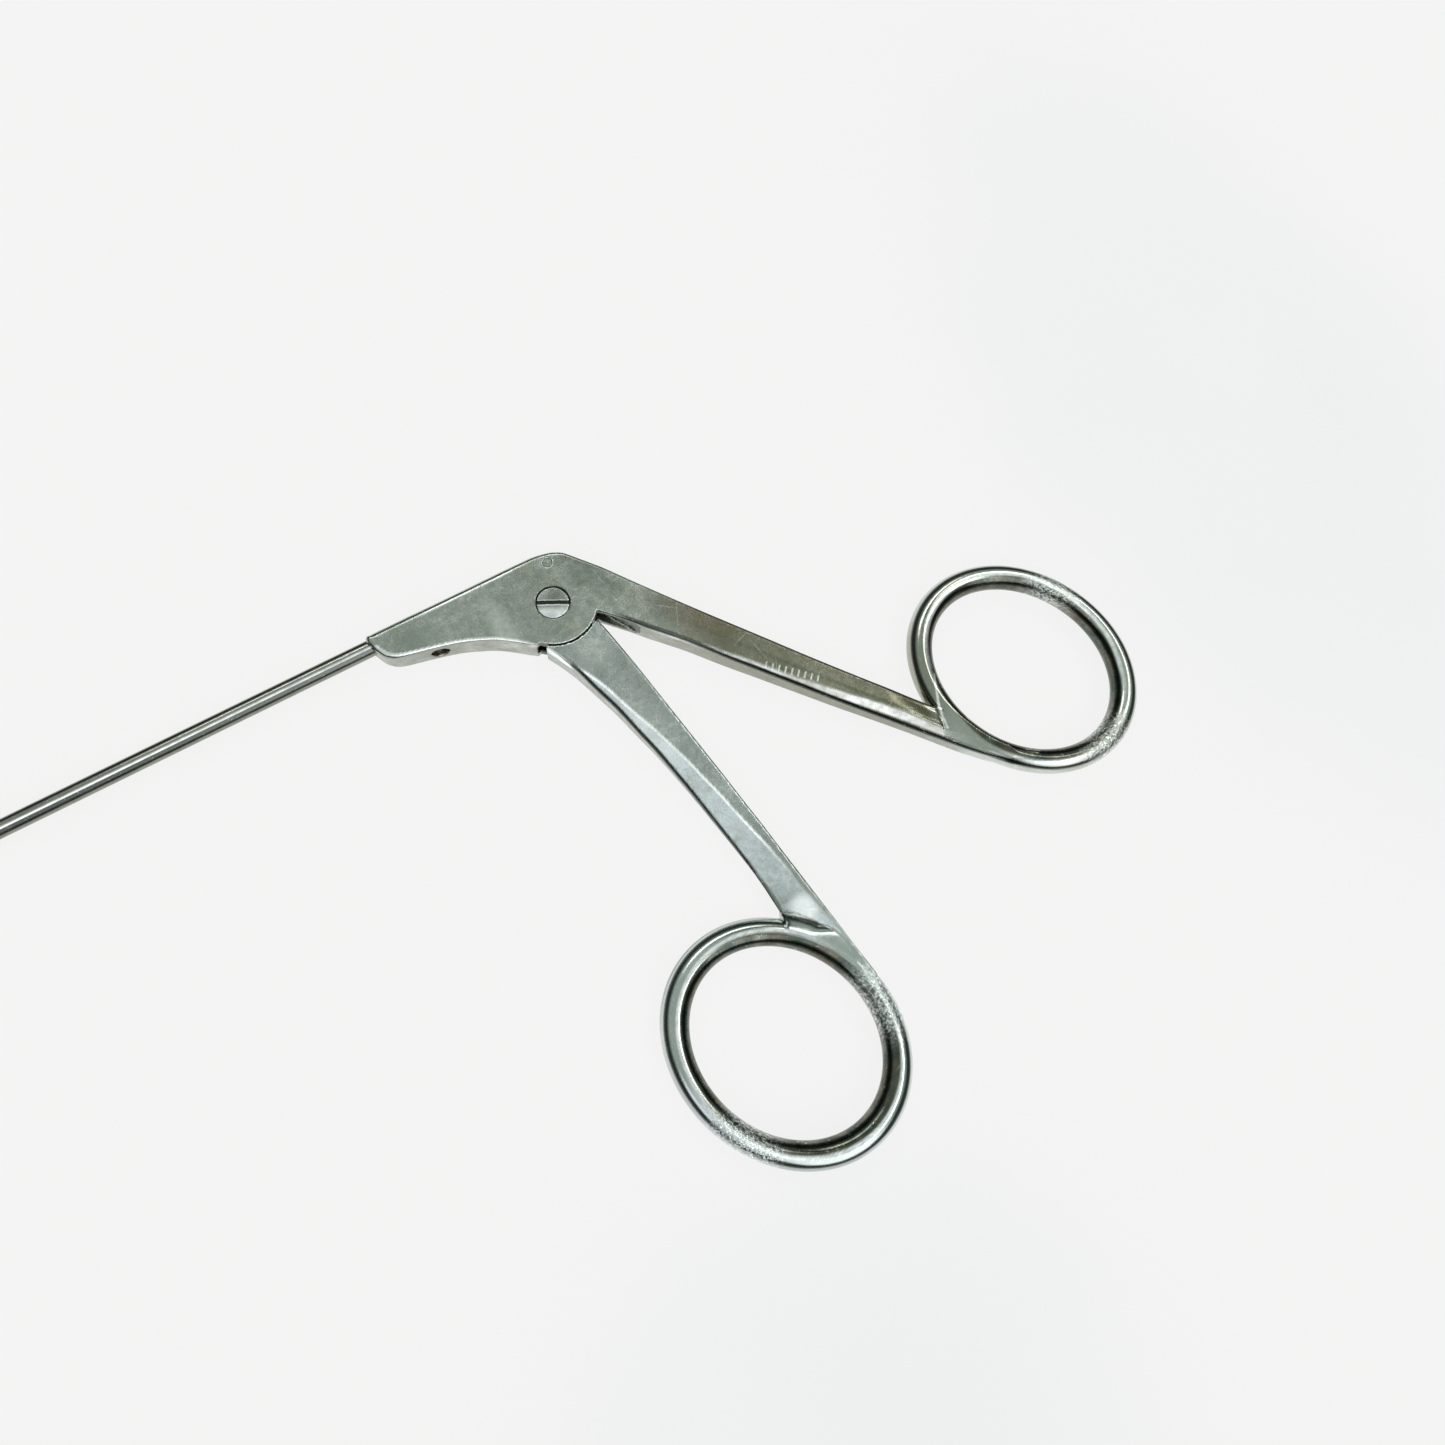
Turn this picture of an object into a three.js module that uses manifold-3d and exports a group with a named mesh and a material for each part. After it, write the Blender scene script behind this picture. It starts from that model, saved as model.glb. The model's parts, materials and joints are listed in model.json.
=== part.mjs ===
// Ring-handled tubular grasping forceps for work down a laryngeal viewing tube.
//
// Frame, in millimetres: the instrument lies flat, +Z is up and Z = 0 is the plane it
// rests on. The origin is on the lever's pivot axis. +X runs back along the shaft
// towards the hand, so the jaws are at the -X end. +Y is the spine side of the body.
import * as THREE from 'three';
import { mergeVertices } from 'three/addons/utils/BufferGeometryUtils.js';
import Module from 'manifold-3d';

const wasm = await Module();
wasm.setup();

const rad = THREE.MathUtils.degToRad;

// ---------------------------------------------------------------- driving dimensions
// Heights are passed around as layers, [bottom, top].
const PLATE_T = 5.0;            // thickness of body, shank and lever
const MID_Z = PLATE_T / 2;
const WHOLE_PLATE = [0, PLATE_T];
const THROUGH = [-1, PLATE_T + 1];      // for cutters that pass right through
const midLayer = (half) => [MID_Z - half, MID_Z + half];
const NOSE_T = 4.3;             // the body thins to this at its nose
const ARM_T = 4.3;              // shank and lever thin to this at their rings
const EDGE = 0.35;              // bevel on the outer edges of the forgings

const CHEEK_R = 6.3;            // round cheeks of the body, centred on the pivot
const SHOULDER_R = 6.5;         // hollow shoulder of the lever that clears the cheeks
const SLOT_HALF = 1.1;          // slot between the body's two cheeks, half its height
const SLOT_TOP = MID_Z + SLOT_HALF;
const TONGUE_HALF = 1.0;        // tongue of the lever, in that slot
const TONGUE_R = 5.5;
const FORK_HALF = 0.4;          // fork gap in the lever's arm
const FORK_FLOOR_Y = 3.6;
const EYE_HALF = 0.3;           // rod's eye, in the fork gap

const SCREW_R = 1.5, SCREW_HEAD_R = 2.35, SCREW_HEAD_T = 0.9;
const SCREW_BEVEL = 0.18, SCREW_CROWN = 0.04;
const SCREW_SLOT_W = 0.75, SCREW_SLOT_DEPTH = 0.45, SCREW_SLOT_DEG = -27;
const PIVOT_HOLE_R = 1.56;

const SHAFT_Y = 6.8;            // shaft axis
const ACROSS_SHAFT = [SHAFT_Y - 3, SHAFT_Y + 3];    // wider than anything on the shaft
const TUBE_R = 1.225, TUBE_BORE_R = 0.9;
const TUBE_REAR_X = -12.5, TUBE_FRONT_X = -204;
const TUBE_HOLE_CLEAR = 0.03;
const TUBE_HOLE_END_X = -12.3;
const ROD_HOLE_R = 0.92;        // hole in the body behind the tube
const ROD_R = 0.75;
const ROD_REAR_X = -3.0;
const ROD_REAR_SLOT = 2, ROD_FRONT_SLOT = 2.5;      // lengths of the slots in the rod's ends
const ROD_SLOT_CLEAR = 0.02;

const PIN_CIRCLE_R = 6.2;       // drive pin's distance from the pivot
const PIN_REST_DEG = 80;        // and its direction with the lever at rest
const PIN_X = PIN_CIRCLE_R * Math.cos(rad(PIN_REST_DEG));
const PIN_Y = PIN_CIRCLE_R * Math.sin(rad(PIN_REST_DEG));
const PIN_R = 0.6;
const PIN_HOLE_CLEAR = 0.01;
const PIN_BOSS_R = 1.2;         // round end of the lever's arm
const EYE_OUTER_R = 1.06, EYE_SLOT_CLEAR = 0.08;
const EYE_END_PLAY = 0.03;
const PLUG_X = 2.2, PLUG_Y = 5.8, PLUG_HOLE_R = 0.66, PLUG_CLEAR = 0.03;

const SET_SCREW_X = -17, SET_SCREW_R = 1.2, SET_HOLE_R = 1.3;
const SET_SCREW_BOTTOM_Y = 2.75, SET_SCREW_TUBE_GAP = 0.05;
const SET_SLOT_DEPTH = 0.5, SET_SLOT_HALF = 0.2;

// finger rings: centre, turn, inner half axes, width of the bar at the sides and the ends
const RING_H = 4.2;             // height of the oval bar section
const REAR_RING = { x: 55.97, y: -40.71, deg: -62.7, a: 14.08, b: 11.78, side: 3.5, end: 3.95 };
const FRONT_RING = { x: -2.09, y: -68.59, deg: -68.95, a: 13.78, b: 11.52, side: 3.72, end: 4.18 };

// working end
const JAW_X = -213;             // jaw pivot
const JAW_Y = SHAFT_Y + 0.3;
const JAW_LEN = 12.0;
const JAW_TIP_X = JAW_X - JAW_LEN;
const JAW_OPEN_DEG = 18;        // jaw opening at rest
const LEVER_CLOSE_DEG = 9.5, LEVER_OPEN_DEG = 10;   // lever travel either way from rest
const JAW_PIN_R = 0.35, JAW_PIN_HALF = 1.15;
const JAW_DRIVE_R = 0.3, JAW_SLOT_HALF = 0.345;
const JAW_DRIVE_CLOSED_X = -3.1;        // drive pin's place before the pivot, jaws closed
const CLOSE_STROKE = PIN_Y * rad(LEVER_CLOSE_DEG);
const CAM_MM_PER_RAD = CLOSE_STROKE / rad(JAW_OPEN_DEG);
const JAW_DRIVE_REST_X = JAW_X + JAW_DRIVE_CLOSED_X + CLOSE_STROKE;
const ROD_FRONT_X = JAW_X + 3.5;
const JAW_ROOT_Z = [1.95, 2.45];
const BLADE_Z = [2.55, 3.05];
const CLEVIS_HALF = 0.63;       // slot in the fixed jaw that holds root and blade
const CLEVIS_BORE_R = 0.82;

// ---------------------------------------------------------------- helpers
function solid(geometry) {
  geometry.deleteAttribute('normal');
  geometry.deleteAttribute('uv');
  const merged = mergeVertices(geometry, 1e-4);
  return new wasm.Manifold(new wasm.Mesh({
    numProp: 3,
    vertProperties: merged.attributes.position.array,
    triVerts: new Uint32Array(merged.index.array),
  }));
}

function geometryOf(manifold) {
  const mesh = manifold.getMesh();
  const geometry = new THREE.BufferGeometry();
  geometry.setAttribute('position', new THREE.BufferAttribute(mesh.vertProperties, 3));
  geometry.setIndex(new THREE.BufferAttribute(mesh.triVerts, 1));
  geometry.computeVertexNormals();
  return geometry;
}

const vectors = (points) => points.map(([x, y]) => new THREE.Vector2(x, y));

function extrusion(points, depth) {
  return new THREE.ExtrudeGeometry(new THREE.Shape(vectors(points)), { depth, bevelEnabled: false });
}

function plate(points, [bottom, top]) {
  return solid(extrusion(points, top - bottom).translate(0, 0, bottom));
}

// full-thickness plate whose bevel grows outwards from the given outline
function forging(points) {
  const geometry = new THREE.ExtrudeGeometry(new THREE.Shape(vectors(points)), {
    depth: PLATE_T - 2 * EDGE,
    bevelEnabled: true,
    bevelThickness: EDGE,
    bevelSize: EDGE,
    bevelSegments: 1,
  });
  return solid(geometry.translate(0, 0, EDGE));
}

// profile of (z, y) points swept along X, ending at endX
function sweepX(profile, endX, length) {
  const geometry = extrusion(profile, length);
  geometry.rotateY(-Math.PI / 2);
  return solid(geometry.translate(endX, 0, 0));
}

// round post along Z
function post(x, y, radius, [bottom, top], segments) {
  const geometry = new THREE.CylinderGeometry(radius, radius, top - bottom, segments);
  geometry.rotateX(Math.PI / 2);
  return solid(geometry.translate(x, y, (bottom + top) / 2));
}

// round bar on the shaft axis
function shaftBar(frontX, rearX, radius, segments) {
  const geometry = new THREE.CylinderGeometry(radius, radius, rearX - frontX, segments);
  geometry.rotateZ(Math.PI / 2);
  return solid(geometry.translate((frontX + rearX) / 2, SHAFT_Y, MID_Z));
}

// turned part on the shaft axis; profile of (radius, distance behind frontX)
function shaftTurning(profile, frontX) {
  const geometry = new THREE.LatheGeometry(vectors(profile), 32);
  geometry.rotateZ(-Math.PI / 2);
  return solid(geometry.translate(frontX, SHAFT_Y, MID_Z));
}

// round bar along Y at the set screw's place
function setScrewBar(radius, lowY, highY) {
  const geometry = new THREE.CylinderGeometry(radius, radius, highY - lowY, 24);
  return solid(geometry.translate(SET_SCREW_X, (lowY + highY) / 2, MID_Z));
}

// box from its [low, high] range on each axis
function box(...ranges) {
  const geometry = new THREE.BoxGeometry(...ranges.map(([low, high]) => high - low));
  return solid(geometry.translate(...ranges.map(([low, high]) => (low + high) / 2)));
}

function arc(centreX, centreY, radius, startDeg, endDeg, steps) {
  const points = [];
  for (let i = 0; i <= steps; i++) {
    const angle = rad(startDeg + ((endDeg - startDeg) * i) / steps);
    points.push([centreX + radius * Math.cos(angle), centreY + radius * Math.sin(angle)]);
  }
  return points;
}

// outline swept by a circle moving between the points of an open path
function capsule(path, radius, capSteps) {
  const left = [], right = [];
  path.forEach(([x, y], i) => {
    const before = path[Math.max(i - 1, 0)];
    const after = path[Math.min(i + 1, path.length - 1)];
    const stepX = after[0] - before[0], stepY = after[1] - before[1];
    const length = Math.hypot(stepX, stepY);
    const offsetX = (-stepY / length) * radius, offsetY = (stepX / length) * radius;
    left.push([x + offsetX, y + offsetY]);
    right.push([x - offsetX, y - offsetY]);
  });
  // half circle round an end of the path, clockwise, without its two end points
  const cap = ([x, y], from) => {
    const startDeg = THREE.MathUtils.radToDeg(Math.atan2(from[1] - y, from[0] - x));
    return arc(x, y, radius, startDeg, startDeg - 180, capSteps).slice(1, -1);
  };
  return [
    ...left, ...cap(path.at(-1), left.at(-1)),
    ...right.reverse(), ...cap(path[0], right.at(-1)),
  ];
}

// oval finger ring: a torus whose path is an oval and whose section is an oval bar, a
// little lower than the plate and a little wider at the two ends of the ring
function fingerRing({ x, y, deg, a: halfLong, b: halfShort, side, end }) {
  const torusR = 10;            // any radius above the section's, as every point is moved
  const geometry = new THREE.TorusGeometry(torusR, 1, 12, 48);
  const position = geometry.attributes.position;
  for (let i = 0; i < position.count; i++) {
    const oldX = position.getX(i), oldY = position.getY(i);
    const around = Math.atan2(oldY, oldX);
    const section = Math.atan2(position.getZ(i), Math.hypot(oldX, oldY) - torusR);
    const normalX = Math.cos(around) / halfLong, normalY = Math.sin(around) / halfShort;
    const barWidth = side + (end - side) * Math.cos(around) ** 2;
    const offset = (barWidth / 2) * (1 + Math.cos(section)) / Math.hypot(normalX, normalY);
    position.setXYZ(
      i,
      halfLong * Math.cos(around) + offset * normalX,
      halfShort * Math.sin(around) + offset * normalY,
      (RING_H / 2) * Math.sin(section),
    );
  }
  geometry.rotateZ(rad(deg));
  return solid(geometry.translate(x, y, MID_Z));
}

// cutter for a sloping facet on both faces: its edge runs from start to end on each face,
// and the facet falls away to the right of that direction
function facetCutters(start, end, slopeDeg) {
  const stepX = end[0] - start[0], stepY = end[1] - start[1];
  const geometry = new THREE.BoxGeometry(Math.hypot(stepX, stepY), 12, 6);
  geometry.translate(0, -6, 3);
  geometry.rotateX(rad(slopeDeg));
  geometry.rotateZ(Math.atan2(stepY, stepX));
  geometry.translate((start[0] + end[0]) / 2, (start[1] + end[1]) / 2, PLATE_T);
  const upper = solid(geometry);
  return upper.add(upper.mirror([0, 0, 1]).translate([0, 0, PLATE_T]));
}

// closed profile (distance along, z) from stations of (distance along, inset of each face)
function taperProfile(stations) {
  const upper = stations.map(([along, inset]) => [along, PLATE_T - inset]);
  return [...stations, ...upper.reverse()];
}

const ARM_INSET = (PLATE_T - ARM_T) / 2;

// ---------------------------------------------------------------- fixed handle
// outlines are (x, y) points
const BODY_OUTLINE = [
  [-24.95, 7.7], [-20, 7.75], [-12, 7.7], [-4, 7.75], [0.3, 7.7], [1.9, 7.5], [3.4, 7.05],
  [4.7, 6.35], [5.5, 5.4], [6.2, 4.6], [8.45, 1.6], [10.8, -1.6], [13.1, -4.8], [17.8, -11.1],
  [23.5, -18.5], [29.1, -25.9], [34.9, -33.2], [38.4, -37.0],
  // inside the ring bar
  [41.2, -37.2], [42.0, -42.0], [43.76, -46.6], [46.4, -50.4],
  // underside of the shank
  [45.4, -51.1], [42, -47.6], [38, -42.8], [34, -38.0], [30, -33.2], [26, -28.2], [22, -23.35],
  [18, -18.7], [14, -14.05], [10, -9.6], [8, -7.3], [5.3, -4.1],
  // round cheek
  ...arc(0, 0, CHEEK_R - EDGE, -38, -134, 14),
  // underside of the body and the nose
  [-5.2, -4.1], [-6.5, -3.4], [-8, -2.5], [-10, -1.2], [-12, -0.1], [-14, 0.8], [-16, 1.4],
  [-18, 1.9], [-20, 2.3], [-21.9, 2.75], [-23.0, 3.3], [-23.9, 4.2], [-24.55, 5.3],
  [-24.95, 6.3], [-25.1, 7.1],
];

// room between the cheeks for the lever's tongue and the rod's eye
const SLOT_OUTLINE = [
  [-4.5, -9], [-4.9, -4.3], [-5.5, -2.2], [-5.8, 0], [-5.8, 7.62], [0.2, 7.62], [2.2, 7.48],
  [3.2, 6.85], [3.6, 6.1], [4.5, 4.6], [5.6, 2.2], [5.8, 0], [6.1, -2.6], [9.4, -8.7], [7, -12],
];

// section of the spine, (z, y), and its run along X
const SPINE_PROFILE = [
  [0.5, 7.2], [0.95, 7.85], [1.7, 8.3], [3.3, 8.3], [4.05, 7.85], [4.5, 7.2],
];
const SPINE_END_X = 1.3, SPINE_LEN = 26.6;

// envelope: full thickness over the pivot, thinner towards the nose and along the shank
function handleEnvelope() {
  const noseInset = (PLATE_T - NOSE_T) / 2;
  const geometry = extrusion(taperProfile([
    [-26, noseInset], [-2, 0], [8, 0], [39, ARM_INSET], [80, ARM_INSET],
  ]), 100);
  geometry.rotateX(Math.PI / 2);        // profile in XZ, swept along -Y
  return solid(geometry.translate(0, 20, 0));
}

function fixedHandle() {
  const screwHeadLayer = [PLATE_T - SCREW_HEAD_T - 0.02, PLATE_T + 1];
  return forging(BODY_OUTLINE)
    // the spine stands proud of the body's edge and covers the tube
    .add(sweepX(SPINE_PROFILE, SPINE_END_X, SPINE_LEN))
    .intersect(handleEnvelope())
    .subtract(facetCutters([15.5, -14.8], [42.5, -45.9], 40))
    .add(fingerRing(REAR_RING))
    .subtract(plate(SLOT_OUTLINE, midLayer(SLOT_HALF)))
    .subtract(shaftBar(-30, TUBE_HOLE_END_X, TUBE_R + TUBE_HOLE_CLEAR, 24))
    .subtract(shaftBar(-13, -5, ROD_HOLE_R, 24))
    .subtract(setScrewBar(SET_HOLE_R, SHAFT_Y - 7, SHAFT_Y))
    .subtract(post(0, 0, SCREW_HEAD_R + 0.08, screwHeadLayer, 40))
    .subtract(post(0, 0, SCREW_R + 0.03, THROUGH, 40))
    .subtract(post(PLUG_X, PLUG_Y, PLUG_HOLE_R, [SLOT_TOP - 0.5, PLATE_T + 1], 20));
}

// ---------------------------------------------------------------- moving lever
const LEVER_OUTLINE = [
  // hollow shoulder under the round cheeks
  ...arc(0, 0, SHOULDER_R + EDGE, -122.5, -55.5, 12),
  // back edge, down to the ring
  [4.3, -6.5], [4.95, -10], [5.6, -14], [6.15, -18], [6.7, -22], [7.27, -26], [7.82, -30],
  [8.38, -34], [8.88, -38], [9.42, -42], [9.9, -46], [10.4, -50], [10.87, -54], [11.35, -58],
  [11.9, -63],
  // inside the ring bar
  [11.2, -66.5], [9.4, -62.0], [7.4, -59.0], [5.0, -56.6],
  // front edge
  [6.4, -53.4], [6.08, -48], [5.43, -43], [4.68, -38], [4.08, -34], [3.38, -30], [2.63, -26],
  [1.68, -22], [0.75, -18], [-0.45, -14], [-1.85, -9.8],
];

// arm that carries the drive pin
const ARM_OUTLINE = [
  [-1.9, 2.0], [-0.4, 5.2], ...arc(PIN_X, PIN_Y, PIN_BOSS_R, 190, 0, 10), [3.4, 3.4], [3.6, 1.5],
];

// neck between the tongue and the lever below it
const NECK_OUTLINE = [...arc(0, 0, TONGUE_R - 0.3, -128, -50, 6), [4.2, -8], [-2.4, -8]];

// envelope: full thickness by the pivot, thinner towards the ring
function leverEnvelope() {
  const profile = taperProfile([[10, 0], [-8, 0], [-52, ARM_INSET], [-90, ARM_INSET]]);
  return sweepX(profile.map(([y, z]) => [z, y]), 30, 60);
}

function movingLever() {
  const tongueLayer = midLayer(TONGUE_HALF);
  return forging(LEVER_OUTLINE)
    .intersect(leverEnvelope())
    .subtract(facetCutters([-3.2, -7.4], [9.9, -51.5], 30))
    .add(fingerRing(FRONT_RING))
    .add(post(0, 0, TONGUE_R, tongueLayer, 48))
    .add(plate(NECK_OUTLINE, tongueLayer))
    .add(plate(ARM_OUTLINE, tongueLayer))
    .subtract(box([-8, 8], [FORK_FLOOR_Y, 9], midLayer(FORK_HALF)))
    .subtract(post(0, 0, PIVOT_HOLE_R, WHOLE_PLATE, 48))
    .subtract(post(PIN_X, PIN_Y, PIN_R + PIN_HOLE_CLEAR, WHOLE_PLATE, 24));
}

const leverDrivePin = () => post(PIN_X, PIN_Y, PIN_R, midLayer(TONGUE_HALF), 24);

// ---------------------------------------------------------------- screws and plug
function pivotScrew() {
  const geometry = new THREE.LatheGeometry(vectors([
    // radius, z
    [0, 0],
    [SCREW_R, 0],
    [SCREW_R, PLATE_T - SCREW_HEAD_T],
    [SCREW_HEAD_R, PLATE_T - SCREW_HEAD_T],
    [SCREW_HEAD_R, PLATE_T - SCREW_BEVEL],
    [SCREW_HEAD_R - SCREW_BEVEL, PLATE_T - SCREW_CROWN],
    [0, PLATE_T],
  ]), 40);
  geometry.rotateX(Math.PI / 2);
  const slotLayer = [PLATE_T - SCREW_SLOT_DEPTH, PLATE_T + 1];
  const slot = box([-4, 4], [-SCREW_SLOT_W / 2, SCREW_SLOT_W / 2], slotLayer)
    .rotate([0, 0, SCREW_SLOT_DEG]);
  return solid(geometry).subtract(slot);
}

const accessPlug = () =>
  post(PLUG_X, PLUG_Y, PLUG_HOLE_R - PLUG_CLEAR, [SLOT_TOP + 0.2, PLATE_T - 0.12], 20);

function shaftSetScrew() {
  const topY = SHAFT_Y - TUBE_R - SET_SCREW_TUBE_GAP;
  return setScrewBar(SET_SCREW_R, SET_SCREW_BOTTOM_Y, topY).subtract(box(
    [SET_SCREW_X - 3, SET_SCREW_X + 3],
    [SET_SCREW_BOTTOM_Y - 1, SET_SCREW_BOTTOM_Y + SET_SLOT_DEPTH],
    midLayer(SET_SLOT_HALF),
  ));
}

// ---------------------------------------------------------------- shaft
function shaftTube() {
  const length = TUBE_REAR_X - TUBE_FRONT_X;
  return shaftTurning([
    [TUBE_BORE_R, 0], [TUBE_R, 0], [TUBE_R, length], [TUBE_BORE_R, length], [TUBE_BORE_R, 0],
  ], TUBE_FRONT_X);
}

// rod, slotted at the rear for the eye and at the front for the blade
function driveRod() {
  const bladeSlotZ = [BLADE_Z[0] - ROD_SLOT_CLEAR, BLADE_Z[1] + ROD_SLOT_CLEAR];
  return shaftBar(ROD_FRONT_X, ROD_REAR_X, ROD_R, 20)
    .subtract(box([ROD_REAR_X - ROD_REAR_SLOT, ROD_REAR_X + 1], ACROSS_SHAFT,
      midLayer(EYE_HALF + ROD_SLOT_CLEAR)))
    .subtract(box([ROD_FRONT_X - 1, ROD_FRONT_X + ROD_FRONT_SLOT], ACROSS_SHAFT, bladeSlotZ));
}

// upright eye that lets the drive pin rise and fall on its circle
function rodEndEye() {
  const eyeLayer = midLayer(EYE_HALF);
  const lowY = PIN_CIRCLE_R * Math.sin(rad(PIN_REST_DEG - LEVER_OPEN_DEG)) - EYE_END_PLAY;
  const slotPath = [[PIN_X, lowY], [PIN_X, PIN_CIRCLE_R + EYE_END_PLAY]];
  const stemFrontX = ROD_REAR_X - ROD_REAR_SLOT + 0.03;
  const stem = [
    [stemFrontX, SHAFT_Y - 0.55], [-1.2, SHAFT_Y - 0.75], [PIN_X - 0.6, SHAFT_Y - 1.3],
    [PIN_X - 0.4, SHAFT_Y + 0.4], [-0.8, SHAFT_Y + 0.5], [stemFrontX, SHAFT_Y + 0.5],
  ];
  return plate(capsule(slotPath, EYE_OUTER_R, 12), eyeLayer)
    .add(plate(stem, eyeLayer))
    .subtract(plate(capsule(slotPath, PIN_R + EYE_SLOT_CLEAR, 12), WHOLE_PLATE));
}

// ---------------------------------------------------------------- working end
// blade that carries the rod's motion past the jaw pivot pin to the jaw drive pin
function rodFrontBlade() {
  const rearX = ROD_FRONT_X + ROD_FRONT_SLOT - 0.05;
  const halfHeight = 0.52;
  const reliefY = SHAFT_Y - 0.12;       // lowered upper edge, under the pivot pin
  const lowerY = SHAFT_Y - 0.72;
  return plate([
    [rearX, SHAFT_Y - halfHeight], [rearX, SHAFT_Y + halfHeight],
    [JAW_X + 2.0, SHAFT_Y + halfHeight],
    [JAW_X + 1.5, reliefY], [JAW_DRIVE_REST_X + 0.55, reliefY],
    ...arc(JAW_DRIVE_REST_X, SHAFT_Y, 0.5, 30, 240, 10),
    [JAW_DRIVE_REST_X + 0.2, lowerY], [JAW_X + 1.8, lowerY],
    [JAW_X + 2.4, SHAFT_Y - halfHeight],
  ], BLADE_Z)
    .subtract(post(JAW_DRIVE_REST_X, SHAFT_Y, JAW_DRIVE_R + 0.01, WHOLE_PLATE, 16));
}

const jawDrivePin = () =>
  post(JAW_DRIVE_REST_X, SHAFT_Y, JAW_DRIVE_R, [JAW_ROOT_Z[0] + 0.02, BLADE_Z[1]], 16);

const jawPivotPin = () => post(JAW_X, JAW_Y, JAW_PIN_R, midLayer(JAW_PIN_HALF), 20);

const TOOTH_PITCH = 0.8, TOOTH_H = 0.28;
const BITE_Y = SHAFT_Y - 0.15, BITE_HALF_GAP = 0.04;
const TEETH_REAR_X = JAW_X - 5.0, TEETH_FRONT_X = JAW_TIP_X + 0.6;

// region on one side of the toothed bite line, in the closed jaw's own place;
// side is 1 for the upper (+Y) jaw and -1 for the lower
function jawSide(side, rootX, rootY) {
  const biteY = BITE_Y + side * BITE_HALF_GAP;
  const outerY = SHAFT_Y + side * 3;
  const teeth = [];
  for (let x = TEETH_REAR_X; x > TEETH_FRONT_X; x -= TOOTH_PITCH) {
    teeth.push([x, biteY - TOOTH_H / 2]);
    teeth.push([x - TOOTH_PITCH / 2, biteY + TOOTH_H / 2]);
  }
  return plate([
    [rootX, rootY], ...teeth, [JAW_TIP_X - 1, biteY], [JAW_TIP_X - 1, outerY], [rootX, outerY],
  ], THROUGH);
}

// both jaws are cut from one round bar that narrows towards the tip
function jawBar() {
  const length = TUBE_FRONT_X - JAW_TIP_X;
  return shaftTurning([
    // radius, distance behind the tip
    [0, 0], [0.55, 0.05], [0.85, 0.35], [1.0, 1.2], [TUBE_R, 5.0], [TUBE_R, length], [0, length],
  ], JAW_TIP_X);
}

function fixedJaw() {
  const wholeRear = box([JAW_X - 4.1, TUBE_FRONT_X - 0.02], ACROSS_SHAFT, THROUGH);
  return jawBar()
    .intersect(jawSide(-1, JAW_X - 4.0, BITE_Y - 0.04 - TOOTH_H / 2).add(wholeRear))
    .subtract(box([JAW_X - 4.75, JAW_X + 4.5], ACROSS_SHAFT, midLayer(CLEVIS_HALF)))
    .subtract(shaftBar(JAW_X + 2.2, TUBE_FRONT_X + 4, CLEVIS_BORE_R, 20))
    .subtract(post(JAW_X, JAW_Y, JAW_PIN_R + 0.02, THROUGH, 20));
}

// the drive pin's path as the closed jaw sees it, a spiral that turns steady rod travel
// into steady jaw rotation; it runs one step past the travel at each end
function camPath() {
  const steps = 12;
  const totalDeg = JAW_OPEN_DEG * (1 + LEVER_OPEN_DEG / LEVER_CLOSE_DEG);
  const path = [];
  for (let i = -1; i <= steps + 1; i++) {
    const open = rad((totalDeg * i) / steps);
    const x = JAW_DRIVE_CLOSED_X + CAM_MM_PER_RAD * open, y = SHAFT_Y - JAW_Y;
    path.push([
      JAW_X + x * Math.cos(open) - y * Math.sin(open),
      JAW_Y + x * Math.sin(open) + y * Math.cos(open),
    ]);
  }
  return path;
}

const JAW_ROOT_OUTLINE = [
  ...arc(JAW_X, JAW_Y, 0.8, 75, -105, 10),
  [JAW_X - 0.9, SHAFT_Y - 1.2], [JAW_X - 1.6, SHAFT_Y - 1.15], [JAW_X - 3.3, SHAFT_Y - 0.62],
  [JAW_X - 3.9, SHAFT_Y - 0.4], [JAW_X - 4.6, BITE_Y + 0.3], [JAW_X - 4.6, SHAFT_Y + 1.15],
  [JAW_X - 3, SHAFT_Y + 1.15],
];

function movingJaw() {
  const camLayer = [JAW_ROOT_Z[0] - 0.3, JAW_ROOT_Z[1] + 0.09];
  return jawBar()
    .intersect(jawSide(1, JAW_X - 4.3, BITE_Y + 0.03 + TOOTH_H / 2))
    .add(plate(JAW_ROOT_OUTLINE, JAW_ROOT_Z))
    .subtract(plate(capsule(camPath(), JAW_SLOT_HALF, 6), camLayer))
    .subtract(post(JAW_X, JAW_Y, JAW_PIN_R + 0.04, WHOLE_PLATE, 20));
}

// ---------------------------------------------------------------- scene graph
const steel = (color, roughness) =>
  new THREE.MeshStandardMaterial({ color, roughness, metalness: 1 });
const satin = () => steel(0x9c9e90, 0.42);
const polished = () => steel(0xb9bab3, 0.18);

const group = new THREE.Group();
group.name = 'grasping_forceps';

function subgroup() {
  const child = new THREE.Group();
  group.add(child);
  return child;
}

function piece(name, manifold, material, parent = group) {
  const mesh = new THREE.Mesh(geometryOf(manifold), material);
  mesh.name = name;
  parent.add(mesh);
  return mesh;
}

piece('fixed_handle', fixedHandle(), satin());
piece('pivot_screw', pivotScrew(), polished());
piece('access_plug', accessPlug(), satin());
piece('shaft_set_screw', shaftSetScrew(), satin());
piece('shaft_tube', shaftTube(), polished());
piece('fixed_jaw', fixedJaw(), satin());
piece('jaw_pivot_pin', jawPivotPin(), polished());

const leverGroup = subgroup();
piece('moving_lever', movingLever(), satin(), leverGroup);
piece('lever_drive_pin', leverDrivePin(), polished(), leverGroup);

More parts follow.
